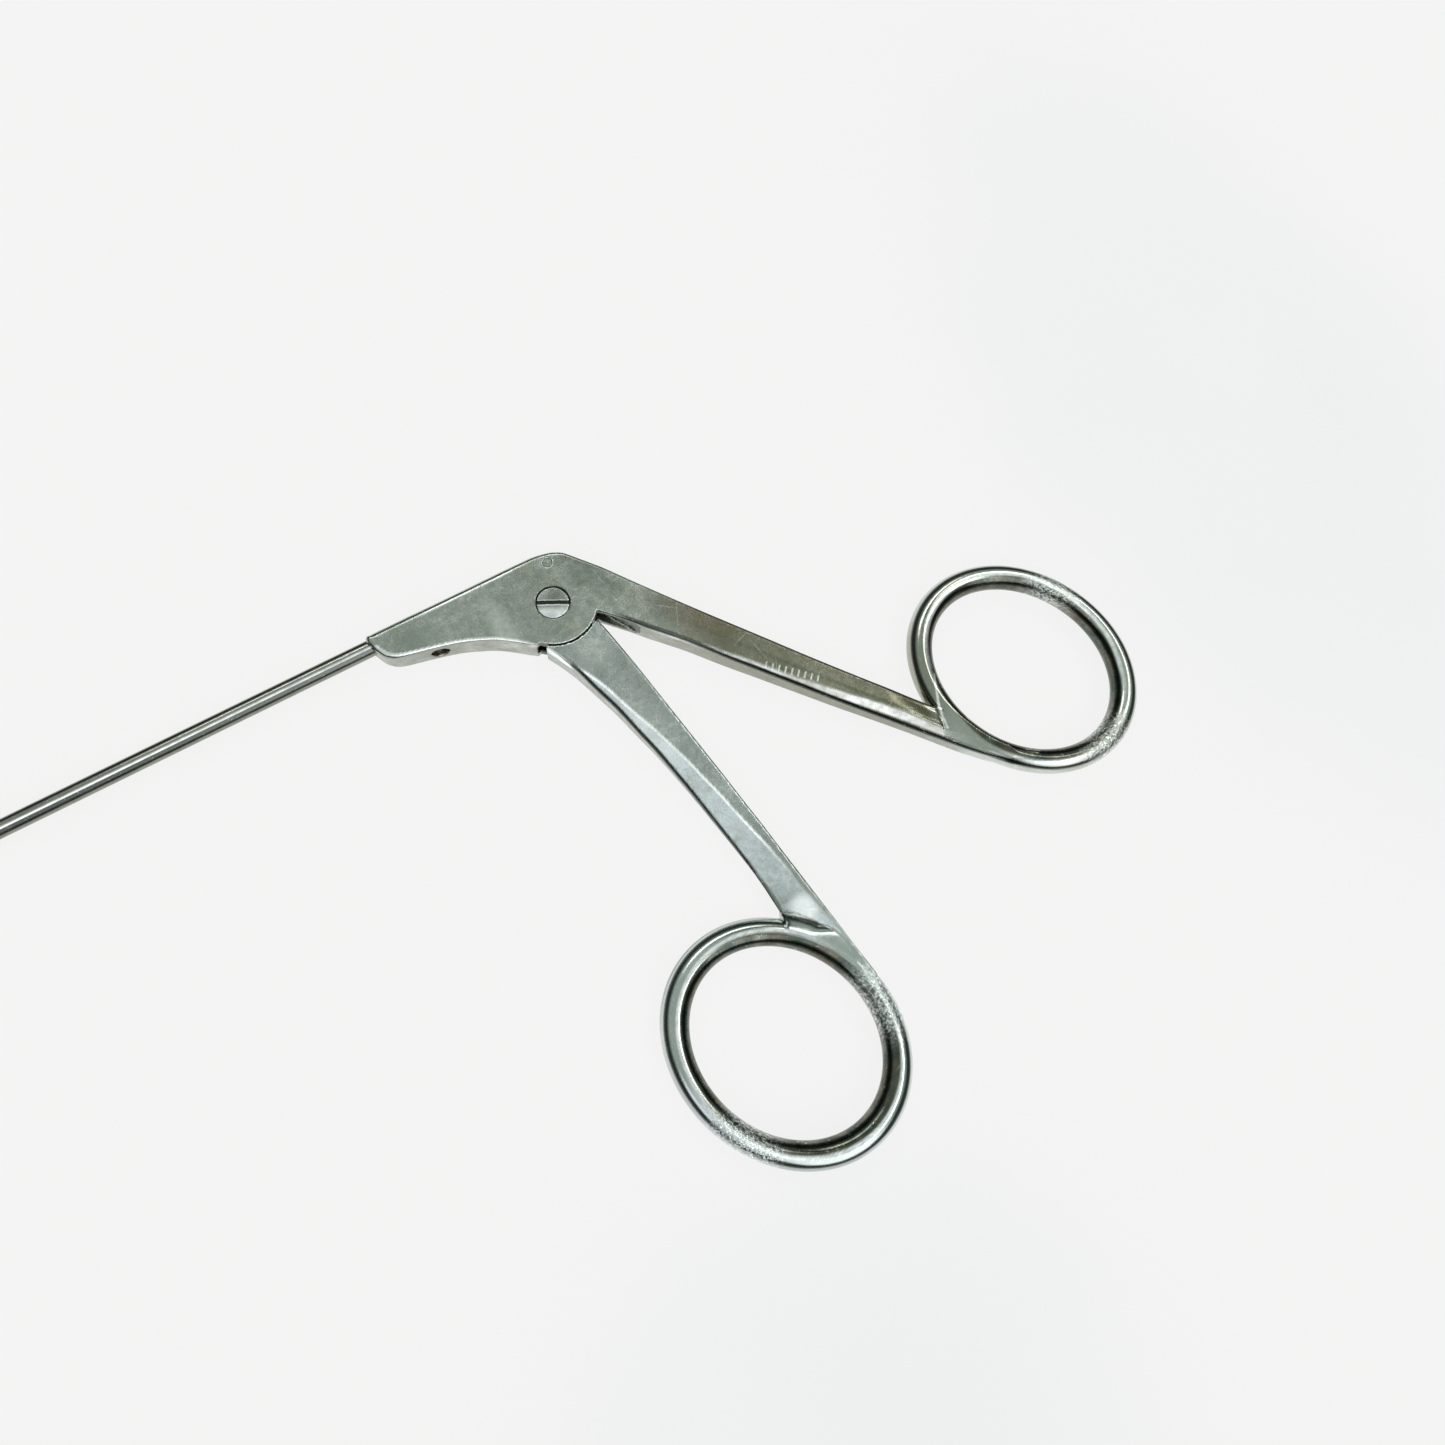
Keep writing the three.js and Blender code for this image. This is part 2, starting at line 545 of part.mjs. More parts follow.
const rodGroup = subgroup();
piece('drive_rod', driveRod(), polished(), rodGroup);
piece('rod_end_eye', rodEndEye(), satin(), rodGroup);
piece('rod_front_blade', rodFrontBlade(), satin(), rodGroup);
piece('jaw_drive_pin', jawDrivePin(), polished(), rodGroup);

// the jaw is shaped closed and stands open by its rest angle
const jawGroup = subgroup();
jawGroup.position.set(JAW_X, JAW_Y, 0);
jawGroup.rotation.z = -rad(JAW_OPEN_DEG);
const jawMesh = piece('moving_jaw', movingJaw(), satin(), jawGroup);
jawMesh.position.set(-JAW_X, -JAW_Y, 0);

export default group;
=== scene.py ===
# Looks of the ring-handled grasping forceps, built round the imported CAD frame.
# Shapes are worked out in millimetres in the row frame and written in metres.
import json
import math

import bmesh
import bpy
import numpy as np
from mathutils import Matrix, Vector


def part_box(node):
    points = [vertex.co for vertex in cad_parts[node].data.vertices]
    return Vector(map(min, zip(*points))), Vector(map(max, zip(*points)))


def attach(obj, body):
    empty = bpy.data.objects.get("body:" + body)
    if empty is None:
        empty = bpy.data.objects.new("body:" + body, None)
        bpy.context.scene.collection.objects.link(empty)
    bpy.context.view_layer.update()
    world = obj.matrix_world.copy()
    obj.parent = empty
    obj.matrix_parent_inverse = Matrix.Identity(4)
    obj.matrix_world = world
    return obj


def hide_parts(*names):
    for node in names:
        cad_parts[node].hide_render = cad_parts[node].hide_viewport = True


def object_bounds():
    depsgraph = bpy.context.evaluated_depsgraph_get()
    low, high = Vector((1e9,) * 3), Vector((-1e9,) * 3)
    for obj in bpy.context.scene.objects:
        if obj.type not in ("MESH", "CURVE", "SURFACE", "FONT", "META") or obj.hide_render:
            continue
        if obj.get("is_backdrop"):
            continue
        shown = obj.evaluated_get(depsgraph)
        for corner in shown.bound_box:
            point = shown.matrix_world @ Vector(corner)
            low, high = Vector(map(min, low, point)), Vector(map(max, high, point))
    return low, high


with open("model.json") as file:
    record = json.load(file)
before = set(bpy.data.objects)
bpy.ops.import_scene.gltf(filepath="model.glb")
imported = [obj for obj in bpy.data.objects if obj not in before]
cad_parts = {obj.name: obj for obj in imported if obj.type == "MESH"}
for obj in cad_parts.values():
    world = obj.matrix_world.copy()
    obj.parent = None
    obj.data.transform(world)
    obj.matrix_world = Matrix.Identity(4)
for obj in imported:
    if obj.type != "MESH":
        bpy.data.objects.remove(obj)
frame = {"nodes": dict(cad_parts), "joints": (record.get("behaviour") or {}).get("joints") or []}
CAD_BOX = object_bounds()
JOINTS = {j["name"]: j for j in frame["joints"]}


# ------------------------------------------------------------------ numbers from the frame
def cad_box(node):
    lo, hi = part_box(node)
    return np.array(lo) * 1000.0, np.array(hi) * 1000.0


BOX_LO, BOX_HI = np.array(CAD_BOX, float).reshape(2, 3) * 1000.0
PIVOT = np.array(JOINTS["lever_pivot"]["pos_m"]) * 1000.0
tube_lo, tube_hi = cad_box("shaft_tube")
SHAFT_Y = float(tube_lo[1] + tube_hi[1]) / 2
MID_Z = float(tube_lo[2] + tube_hi[2]) / 2
TUBE_R = float(tube_hi[1] - tube_lo[1]) / 2
screw_lo, screw_hi = cad_box("pivot_screw")
SCREW_R = float(screw_hi[0] - screw_lo[0]) / 2
SCREW_TOP = float(screw_hi[2])
plug_lo, plug_hi = cad_box("access_plug")
PLUG = ((plug_lo + plug_hi) / 2)[:2]
PLUG_R = float(plug_hi[0] - plug_lo[0]) / 2
set_lo, set_hi = cad_box("shaft_set_screw")
SET_X = float(set_lo[0] + set_hi[0]) / 2
SET_R = float(set_hi[0] - set_lo[0]) / 2
JAW = np.array(JOINTS["jaw_pivot"]["pos_m"]) * 1000.0
handle_lo, handle_hi = cad_box("fixed_handle")
lever_lo, lever_hi = cad_box("moving_lever")
TOP = float(handle_hi[2])
HALF = TOP / 2

RING_HALF_H = 2.1
# centre x, y, turn in degrees, inner half axes, width of the bar at its sides and at its ends
REAR_RING = (55.97, -40.71, -62.7, 14.08, 11.78, 3.4, 3.82)
FRONT_RING = (-2.09, -68.59, -68.95, 13.75, 11.5, 3.65, 4.1)


# ------------------------------------------------------------------ plane curves and fields
def spline(pts, step=0.25):
    """Points along a centripetal Catmull-Rom curve through rows of (x, y, attributes...)."""
    p = np.array(pts, float)
    ext = np.vstack([2 * p[0] - p[1], p, 2 * p[-1] - p[-2]])
    out = []
    for i in range(1, len(ext) - 2):
        p0, p1, p2, p3 = ext[i - 1], ext[i], ext[i + 1], ext[i + 2]
        t0 = 0.0
        t1 = t0 + math.sqrt(max(np.linalg.norm((p1 - p0)[:2]), 1e-6))
        t2 = t1 + math.sqrt(max(np.linalg.norm((p2 - p1)[:2]), 1e-6))
        t3 = t2 + math.sqrt(max(np.linalg.norm((p3 - p2)[:2]), 1e-6))
        n = max(2, int(np.linalg.norm((p2 - p1)[:2]) / step))
        for t in np.linspace(t1, t2, n, endpoint=False):
            a1 = (t1 - t) / (t1 - t0) * p0 + (t - t0) / (t1 - t0) * p1
            a2 = (t2 - t) / (t2 - t1) * p1 + (t - t1) / (t2 - t1) * p2
            a3 = (t3 - t) / (t3 - t2) * p2 + (t - t2) / (t3 - t2) * p3
            b1 = (t2 - t) / (t2 - t0) * a1 + (t - t0) / (t2 - t0) * a2
            b2 = (t3 - t) / (t3 - t1) * a2 + (t - t1) / (t3 - t1) * a3
            q = (t2 - t) / (t2 - t1) * b1 + (t - t1) / (t2 - t1) * b2
            lin = p1 + (p2 - p1) * (t - t1) / (t2 - t1)
            q[2:] = lin[2:]
            out.append(q)
    out.append(p[-1])
    return np.array(out)


def arc_pts(r, a0, a1, n, *attrs):
    a = np.radians(np.linspace(a0, a1, n))
    rows = [PIVOT[0] + r * np.cos(a), PIVOT[1] + r * np.sin(a)] + [np.full(n, v) for v in attrs]
    return np.stack(rows, 1)


class Plane:
    """Named fields on a fine grid in the plane, read back with bilinear interpolation."""

    def __init__(self, lo, hi, h):
        self.lo, self.h = np.array(lo, float), h
        self.nx = int(math.ceil((hi[0] - lo[0]) / h)) + 1
        self.ny = int(math.ceil((hi[1] - lo[1]) / h)) + 1
        self.xs = lo[0] + h * np.arange(self.nx)
        self.ys = lo[1] + h * np.arange(self.ny)
        self.X, self.Y = np.meshgrid(self.xs, self.ys, indexing="ij")
        self.f = {}

    def polyline(self, pts, closed):
        """Distance to the polyline, its attributes at the nearest point, and for a closed one the sign (inside negative)."""
        p = np.asarray(pts, float)
        q = np.roll(p, -1, 0) if closed else p[1:]
        if not closed:
            p = p[:-1]
        a, b = p[:, :2], q[:, :2]
        d = b - a
        keep = (d ** 2).sum(1) > 1e-12
        p, q, a, b, d = p[keep], q[keep], a[keep], b[keep], d[keep]
        dd = (d ** 2).sum(1)
        na = p.shape[1] - 2
        dist = np.empty((self.nx, self.ny))
        attr = np.empty((self.nx, self.ny, na))
        T = 24
        for i0 in range(0, self.nx, T):
            for j0 in range(0, self.ny, T):
                X, Y = self.X[i0:i0 + T, j0:j0 + T], self.Y[i0:i0 + T, j0:j0 + T]
                c = np.array([X.mean(), Y.mean()])
                half = math.hypot(X.max() - X.min(), Y.max() - Y.min()) / 2
                t = np.clip(((c - a) * d).sum(1) / dd, 0, 1)
                r = np.hypot(*(c - a - d * t[:, None]).T)
                k = np.nonzero(r <= r.min() + 2 * half + 1e-6)[0]
                px, py = X.reshape(-1, 1), Y.reshape(-1, 1)
                t = np.clip(((px - a[k, 0]) * d[k, 0] + (py - a[k, 1]) * d[k, 1]) / dd[k], 0, 1)
                r = np.hypot(px - a[k, 0] - d[k, 0] * t, py - a[k, 1] - d[k, 1] * t)
                m = r.argmin(1)
                n = np.arange(len(m))
                dist[i0:i0 + T, j0:j0 + T] = r[n, m].reshape(X.shape)
                if na:
                    tt = t[n, m][:, None]
                    at = p[k[m], 2:] * (1 - tt) + q[k[m], 2:] * tt
                    attr[i0:i0 + T, j0:j0 + T] = at.reshape(X.shape + (na,))
        if closed:
            inside = np.zeros((self.nx, self.ny), bool)
            for j, y in enumerate(self.ys):
                cross = (a[:, 1] > y) != (b[:, 1] > y)
                if cross.any():
                    xc = np.sort(a[cross, 0] + (y - a[cross, 1]) / (b[cross, 1] - a[cross, 1]) * (b[cross, 0] - a[cross, 0]))
                    inside[:, j] = np.searchsorted(xc, self.xs) % 2 == 1
            dist = np.where(inside, -dist, dist)
        return dist, attr

    def ellipse(self, ring):
        """Signed distance outwards from the ring's inner oval, and cos squared of the oval's own angle."""
        x, y, deg, A, B = ring[:5]
        c, s = math.cos(math.radians(deg)), math.sin(math.radians(deg))
        px = (self.X - x) * c + (self.Y - y) * s
        py = -(self.X - x) * s + (self.Y - y) * c
        ax, ay = np.abs(px), np.abs(py)
        tx = np.full_like(ax, 0.7071)
        ty = np.full_like(ax, 0.7071)
        for _ in range(5):
            ex, ey = (A * A - B * B) * tx ** 3 / A, (B * B - A * A) * ty ** 3 / B
            rx, ry = A * tx - ex, B * ty - ey
            qx, qy = ax - ex, ay - ey
            r, q = np.hypot(rx, ry), np.hypot(qx, qy) + 1e-12
            tx = np.clip((qx * r / q + ex) / A, 0, 1)
            ty = np.clip((qy * r / q + ey) / B, 0, 1)
            t = np.hypot(tx, ty)
            tx, ty = tx / t, ty / t
        d = np.hypot(ax - A * tx, ay - B * ty)
        d = np.where((ax / A) ** 2 + (ay / B) ** 2 < 1, -d, d)
        return d, tx ** 2

    def at(self, name, x, y):
        f = self.f[name]
        u = np.clip((x - self.lo[0]) / self.h, 0, self.nx - 1.001)
        v = np.clip((y - self.lo[1]) / self.h, 0, self.ny - 1.001)
        i, j = u.astype(int), v.astype(int)
        u, v = u - i, v - j
        return (f[i, j] * (1 - u) * (1 - v) + f[i + 1, j] * u * (1 - v)
                + f[i, j + 1] * (1 - u) * v + f[i + 1, j + 1] * u * v)


def blur(f, n):
    for _ in range(n):
        g = np.pad(f, 1, mode="edge")
        f = (g[:-2, 1:-1] + g[2:, 1:-1] + g[1:-1, :-2] + g[1:-1, 2:] + 4 * g[1:-1, 1:-1]) / 8
    return f


def smoothstep(a, b, x):
    t = np.clip((x - a) / (b - a), 0, 1)
    return t * t * (3 - 2 * t)


def smax(a, b, k):
    h = np.clip(0.5 + 0.5 * (a - b) / k, 0, 1)
    return b + (a - b) * h + k * h * (1 - h)


def smin(a, b, k):
    return -smax(-a, -b, k)


def ramp(x, pts):
    xs, ys = zip(*pts)
    return np.interp(x, xs, ys)


# ------------------------------------------------------------------ solid functions to meshes
def dual_contour(f, lo, hi, h):
    """Vertices, normals and quads of the surface f = 0, with edges and corners kept.
    f takes arrays x, y, z and is negative inside."""
    lo = np.array(lo, float)
    n = [int(math.ceil((hi[k] - lo[k]) / h)) + 1 for k in range(3)]
    ax = [lo[k] + h * np.arange(n[k]) for k in range(3)]
    X, Y = np.meshgrid(ax[0], ax[1], indexing="ij")
    V = np.empty(n, np.float32)
    for k, z in enumerate(ax[2]):
        V[:, :, k] = f(X, Y, np.full_like(X, z))
    S = V < 0
    pts, nrm, cells, quads_src = [], [], [], []
    for axis in range(3):
        a = [slice(None)] * 3
        b = [slice(None)] * 3
        a[axis], b[axis] = slice(0, -1), slice(1, None)
        idx = np.argwhere(S[tuple(a)] != S[tuple(b)])
        if not len(idx):
            continue
        step = np.zeros(3, int)
        step[axis] = 1
        j = idx + step
        va = V[idx[:, 0], idx[:, 1], idx[:, 2]].astype(float)
        vb = V[j[:, 0], j[:, 1], j[:, 2]].astype(float)
        pa, pb = lo + h * idx, lo + h * j
        ta, tb = np.zeros(len(idx)), np.ones(len(idx))
        for _ in range(4):
            t = ta + (tb - ta) * np.clip(va / (va - vb), 0.08, 0.92)
            p = pa + (pb - pa) * t[:, None]
            v = f(p[:, 0], p[:, 1], p[:, 2])
            same = (v < 0) == (va < 0)
            ta, va = np.where(same, t, ta), np.where(same, v, va)
            tb, vb = np.where(same, tb, t), np.where(same, vb, v)
        t = ta + (tb - ta) * va / (va - vb)
        p = pa + (pb - pa) * t[:, None]
        e = 0.25 * h
        g = np.zeros_like(p)
        for s in ((1, -1, -1), (-1, -1, 1), (-1, 1, -1), (1, 1, 1)):
            s = np.array(s, float)
            w = f(p[:, 0] + e * s[0], p[:, 1] + e * s[1], p[:, 2] + e * s[2])
            g += w[:, None] * s
        g /= np.linalg.norm(g, axis=1)[:, None] + 1e-12
        o1, o2 = [k for k in range(3) if k != axis]
        four = []
        for s1, s2 in ((-1, -1), (0, -1), (0, 0), (-1, 0)):
            c = idx.copy()
            c[:, o1] += s1
            c[:, o2] += s2
            four.append(c)
        four = np.stack(four, 1)
        pts.append(p)
        nrm.append(g)
        cells.append(four)
        inside_low = S[idx[:, 0], idx[:, 1], idx[:, 2]]
        flip = inside_low if axis != 1 else ~inside_low
        quads_src.append(flip)
    P, N, C, F = np.concatenate(pts), np.concatenate(nrm), np.concatenate(cells), np.concatenate(quads_src)
    key = (C[..., 0].astype(np.int64) * (n[1] + 1) + C[..., 1]) * (n[2] + 1) + C[..., 2]
    uniq, inv = np.unique(key.ravel(), return_inverse=True)
    inv = inv.reshape(key.shape)
    m = len(uniq)
    flat = inv.ravel()
    Pr, Nr = np.repeat(P, 4, 0), np.repeat(N, 4, 0)
    cnt = np.bincount(flat, minlength=m)
    mass = np.stack([np.bincount(flat, Pr[:, k], m) for k in range(3)], 1) / cnt[:, None]
    nsum = np.stack([np.bincount(flat, Nr[:, k], m) for k in range(3)], 1)
    A = np.empty((m, 3, 3))
    for i in range(3):
        for j in range(i, 3):
            A[:, i, j] = A[:, j, i] = np.bincount(flat, Nr[:, i] * Nr[:, j], m)
    bb = (Nr * (Pr - mass[flat])).sum(1)
    B = np.stack([np.bincount(flat, Nr[:, k] * bb, m) for k in range(3)], 1)
    w, U = np.linalg.eigh(A)
    wi = np.where(w > 0.06 * w[:, -1:], 1 / np.maximum(w, 1e-9), 0)
    x = np.einsum("mij,mj->mi", U, wi * np.einsum("mji,mj->mi", U, B))
    over = np.abs(x).max(1) / (0.9 * h)
    x /= np.maximum(over, 1)[:, None]
    vert = mass + x
    nsum /= np.linalg.norm(nsum, axis=1)[:, None] + 1e-12
    quads = np.where(F[:, None], inv, inv[:, ::-1])
    return vert, nsum, quads


def mesh_object(name, verts, faces, normals=None, smooth=True):
    """A mesh object from millimetre points."""
    me = bpy.data.meshes.new(name)
    faces = np.asarray(faces)
    verts = np.clip(np.asarray(verts, float), BOX_LO + 0.001, BOX_HI - 0.001)
    me.vertices.add(len(verts))
    me.vertices.foreach_set("co", (np.asarray(verts, float) / 1000.0).astype(np.float32).ravel())
    me.loops.add(faces.size)
    me.loops.foreach_set("vertex_index", faces.astype(np.int32).ravel())
    me.polygons.add(len(faces))
    me.polygons.foreach_set("loop_start", np.arange(0, faces.size, faces.shape[1], dtype=np.int32))
    me.update(calc_edges=True)
    me.validate()
    if smooth:
        me.polygons.foreach_set("use_smooth", np.ones(len(me.polygons), bool))
    if normals is not None:
        me.normals_split_custom_set_from_vertices([tuple(v) for v in normals])
    ob = bpy.data.objects.new(name, me)
    bpy.context.scene.collection.objects.link(ob)
    return ob


def contoured(name, f, lo, hi, h, attributes=None):
    v, n, q = dual_contour(f, lo, hi, h)
    ob = mesh_object(name, v, q, n)
    if attributes is not None:
        for key, val in attributes(v).items():
            a = ob.data.attributes.new(key, "FLOAT", "POINT")
            a.data.foreach_set("value", np.asarray(val, np.float32))
    return ob


def ring_attributes(g, v, ring, crown, weight):
    """How far a point belongs to the polished ring, to the dull flank inside its crown line, and to a painted
    highlight along that line.
    `crown` gives the line's distance from the ring's inner side for each direction seen from the ring's centre."""
    rho = g.at("rho", v[:, 0], v[:, 1])
    up = v[:, 2] - HALF
    turn = np.degrees(np.arctan2(v[:, 1] - ring[1], v[:, 0] - ring[0]))
    at = ramp(turn, crown)
    # painted highlight along the crown line
    shine = line(rho - at, 0.13, 0.22) * ramp(turn, weight) * smoothstep(0.6, 1.1, up)
    return {"ring": smoothstep(4.8, 3.9, rho), "inner": smoothstep(at - 0.12, at - 0.5, rho) * smoothstep(-2.0, -1.5, up)}, shine


def line(d, half, soft):
    """1 on a line, falling to 0 over `soft` beyond `half`."""
    return 1 - smoothstep(half, half + soft, np.abs(d))


def handle_attributes(g, v):
    x, y, z = v.T
    out, shine = ring_attributes(g, v, REAR_RING,
                                 [(-180, 1.5), (-150, 2.2), (-119, 2.45), (-90, 2.3), (-60, 1.5), (-30, 1.05), (0, 1.2), (61, 1.57), (100, 1.5),
                                  (150, 1.2), (180, 1.5)],
                                 [(-142, 0), (-122, 0.8), (-100, 0.9), (-86, 0.2), (-60, 0.1), (-30, 0.5), (-5, 0.9), (40, 1.0), (80, 1.0), (105, 0.6),
                                  (150, 0.45), (172, 0.0)])
    top = smoothstep(HALF + 0.9, HALF + 1.4, z)
    low, width = g.at("low", x, y), g.at("strip_w", x, y)
    rho, slot = g.at("rho", x, y), g.at("slot", x, y)
    rp = np.hypot(x - PIVOT[0], y - PIVOT[1])
    # painted dark reflection: a dark line painted along the top of the wall under the polished strip of the shank
    under = smoothstep(-0.85, -0.5, z - HALF - g.at("h", x, y))
    dark = line(low - 0.18, 0.17, 0.14) * ramp(x, [(6.4, 0), (8.2, 0.9), (34, 1.0), (46, 0.9), (53, 0.0)]) * under
    # painted shade in the clearance round the lever, in the slot, and round the screw
    dark = np.maximum(dark, line(rp - 6.25, 0.14, 0.05) * smoothstep(TOP - 0.1, TOP - 0.3, z) * (y < 0))
    inside = line(z - HALF, 1.35, 0.12) * smoothstep(0.25, 0.1, slot)
    dark = np.maximum(dark, inside * ramp(x, [(5.5, 1), (6.6, 0.95), (7.3, 0.5), (8.4, 0.35), (8.9, 0.9), (9.3, 0.9)]))
    dark = np.maximum(dark, line(rp - SCREW_R - 0.07, 0.09, 0.07) * smoothstep(TOP - 1.2, TOP - 0.9, z))
    # painted shade along the crease where the shank runs into the rear ring
    dark = np.maximum(dark, 0.75 * g.at("vcrease", x, y) * smoothstep(HALF + 0.3, HALF + 0.8, z))
    # painted highlights: a bright line along the polished strip of the shank, lines along the body's lower and upper
    # edges, the ridge line at the ring junction, and the line along the rear ring's crown
    light = line(low - 0.62 * width - 0.12, 0.30 * width, 0.18) * ramp(x, [(10, 0), (13, 0.9), (20, 0.6), (26, 0.35), (30, 0.7), (35, 0.7), (39, 0.25), (43, 0)]) * top
    light = np.maximum(light, line(g.at("u", x, y) - 0.02, 0.10, 0.14) * (y < 6) * ramp(x, [(-25.2, 0.9), (-7, 0.9), (-5.4, 0.3), (-5, 0)]) * top * (rp > 6.6))
    light = np.maximum(light, line(g.at("vridge", x, y), 0.07, 0.16) * top * 0.8)
    light = np.maximum(light, line(g.at("u", x, y) - 0.03, 0.10, 0.12) * (y > 3.5) * ramp(x, [(-21, 0.0), (-16, 0.3), (-4.5, 0.42), (-2.5, 0)]) * top)
    light = np.maximum(light, shine)
    out.update(dark=dark, light=light * (1 - dark))
    return out


def lever_attributes(g, v):
    x, y, z = v.T
    out, shine = ring_attributes(g, v, FRONT_RING,
                                 [(-180, 1.75), (-119, 2.1), (-75, 2.2), (-30, 2.2), (15, 2.0), (61, 2.0), (105, 1.8), (150, 1.7), (180, 1.75)],
                                 [(-180, 0.8), (-150, 0.5), (-119, 0.95), (-75, 0.9), (-45, 0.6), (-20, 0.4), (5, 0.0), (30, 0.1), (60, 0.85), (105, 0.85),
                                  (150, 0.8), (180, 0.8)])
    top = smoothstep(HALF + 0.5, HALF + 1.0, z)
    front, ridge, rho = g.at("front", x, y), g.at("ridge", x, y), g.at("rho", x, y)
    rp = np.hypot(x, y)
    # painted shade: a dark reflection line along the front edge of the facet, the clearance round the pivot, inside
    # the tongue, the crease at the ring, and a dark spot at the front junction
    dark = line(front - 0.16, 0.14, 0.16) * ramp(-y, [(7.5, 0), (9.5, 0.9), (26, 0.9), (34, 0.75), (50, 0.6), (53.5, 0.3), (54, 0)]) * smoothstep(-0.8, -0.45, z - HALF - g.at("h", x, y)) * (z > HALF)
    dark = np.maximum(dark, line(rp - 6.52, 0.12, 0.06) * smoothstep(TOP - 0.1, TOP - 0.3, z))
    dark = np.maximum(dark, line(z - HALF, 1.1, 0.1) * smoothstep(6.45, 6.3, rp))
    dark = np.maximum(dark, g.at("crease", x, y) * smoothstep(HALF + 0.4, HALF + 0.8, z))
    dark = np.maximum(dark, 0.75 * line(np.hypot(x - 5.7, y + 55.4), 0.35, 0.4) * smoothstep(HALF, HALF + 0.5, z))
    # painted highlight along the facet's ridge line
    light = line(ridge, 0.08, 0.15) * ramp(-y, [(4.3, 0.6), (8, 1.0), (44, 1.0), (49, 0.4), (51, 0)]) * top
    light = np.maximum(light, shine)
    out.update(dark=dark, light=light * (1 - dark))
    return out


# ------------------------------------------------------------------ fixed handle
Z_LO, Z_HI = -0.3, TOP + 0.3


def rounded_plate(u, v, ry, rz):
    """Flat plate with oval edge rounding: u is past the flat's edge, v past the start of the rounding."""
    return (np.hypot(np.maximum(u, 0) / ry, np.maximum(v, 0) / rz) - 1) * np.minimum(ry, rz) + np.where(
        (u < 0) & (v < 0), np.maximum(u, v) * 0.2, 0)


def ring_solid(ring, rho, c2, zc):
    a = (ring[5] + (ring[6] - ring[5]) * c2) / 2
    return (np.sqrt(((rho - a) / a) ** 2 + (zc / RING_HALF_H) ** 2) - 1) * np.minimum(a, RING_HALF_H)


def box_solid(x, y, z, lo, hi):
    return np.maximum.reduce([lo[0] - x, x - hi[0], lo[1] - y, y - hi[1], lo[2] - z, z - hi[2]])


def band(z, z0, z1):
    return np.maximum(z0 - z, z - z1)


def sec(pts, ry, rz, inset, curve=True):
    rows = [(x, y, ry, rz, inset) for x, y in pts]
    return spline(rows) if curve else np.array(rows, float)


handle_outline = np.vstack([
    # spine over the shaft, hump, and the upper edge of the shank
    spline([(-24.6, 8.2, 1.1, 1.6, 1.1), (-20, 8.17, 1.1, 1.6, 1.1), (-12, 8.08, 1.1, 1.6, 1.1), (-6, 8.05, 1.1, 1.6, 1.1), (-3, 8.0, 1.05, 1.5, 1.05),
            (-1.0, 7.92, 0.95, 1.4, 0.95), (0.5, 7.78, 0.85, 1.25, 0.8), (1.97, 7.53, 0.75, 1.15, 0.7), (3.46, 7.08, 0.7, 1.1, 0.6),
            (4.77, 6.37, 0.65, 1.0, 0.55), (5.67, 5.42, 0.6, 1.0, 0.5), (6.4, 4.5, 0.55, 0.95, 0.45), (8.72, 1.67, 0.5, 0.9, 0.4),
            (11.0, -1.46, 0.5, 0.9, 0.4), (13.3, -4.6, 0.5, 0.9, 0.4), (18.0, -10.9, 0.5, 0.9, 0.4), (23.68, -18.32, 0.5, 0.9, 0.4),
            (29.32, -25.7, 0.5, 0.9, 0.4), (35.1, -33.0, 0.5, 0.9, 0.4), (38.3, -36.9, 0.5, 0.9, 0.4), (40.9, -40.0, 0.5, 0.9, 0.4)]),
    # inside the ring bar
    sec([(42.4, -42.2), (44.0, -46.4), (46.6, -50.2), (50.2, -52.6)], 0.3, 0.3, 0.3, False),
    # underside of the shank
    spline([(50.0, -54.9, 0.3, 0.3, 0.3), (47.8, -53.1, 0.3, 0.3, 0.3), (45.3, -51.2, 0.32, 0.32, 0.32), (41.87, -47.77, 0.36, 0.36, 0.36),
            (37.75, -42.93, 0.38, 0.38, 0.4), (33.75, -38.13, 0.4, 0.4, 0.42), (29.62, -33.33, 0.42, 0.42, 0.46), (25.48, -28.34, 0.44, 0.44, 0.48),
            (21.47, -23.46, 0.44, 0.44, 0.48), (17.6, -18.76, 0.36, 0.36, 0.42), (13.95, -14.05, 0.28, 0.3, 0.3), (10.1, -9.63, 0.25, 0.3, 0.2),
            (8.1, -7.3, 0.22, 0.25, 0.2)]),
    sec([(5.25, -4.3), (4.95, -3.95)], 0.12, 0.12, 0.12, False),
    # round cheek
    arc_pts(6.3, -38.5, -134.5, 60, 0.12, 0.12, 0.12),
    # underside of the body and the nose
    sec([(-5.0, -4.62), (-5.2, -4.45)], 0.12, 0.12, 0.12, False),
    spline([(-6.4, -3.56, 0.26, 0.3, 0.2), (-7.75, -2.48, 0.28, 0.34, 0.2), (-9.75, -1.1, 0.28, 0.34, 0.2), (-11.84, -0.1, 0.28, 0.34, 0.22),
            (-13.9, 0.74, 0.28, 0.34, 0.25), (-15.95, 1.34, 0.28, 0.34, 0.28), (-17.96, 1.85, 0.28, 0.34, 0.28), (-19.94, 2.3, 0.3, 0.36, 0.3),
            (-21.75, 2.7, 0.4, 0.45, 0.4), (-23.08, 3.14, 0.5, 0.6, 0.5), (-24.12, 4.0, 0.55, 0.7, 0.55), (-24.8, 5.2, 0.6, 0.8, 0.6),
            (-25.2, 6.3, 0.65, 0.9, 0.65), (-25.4, 7.2, 0.65, 0.9, 0.65)]),
    sec([(-25.3, 7.8), (-25.0, 8.1)], 0.8, 1.1, 0.8, False),
])

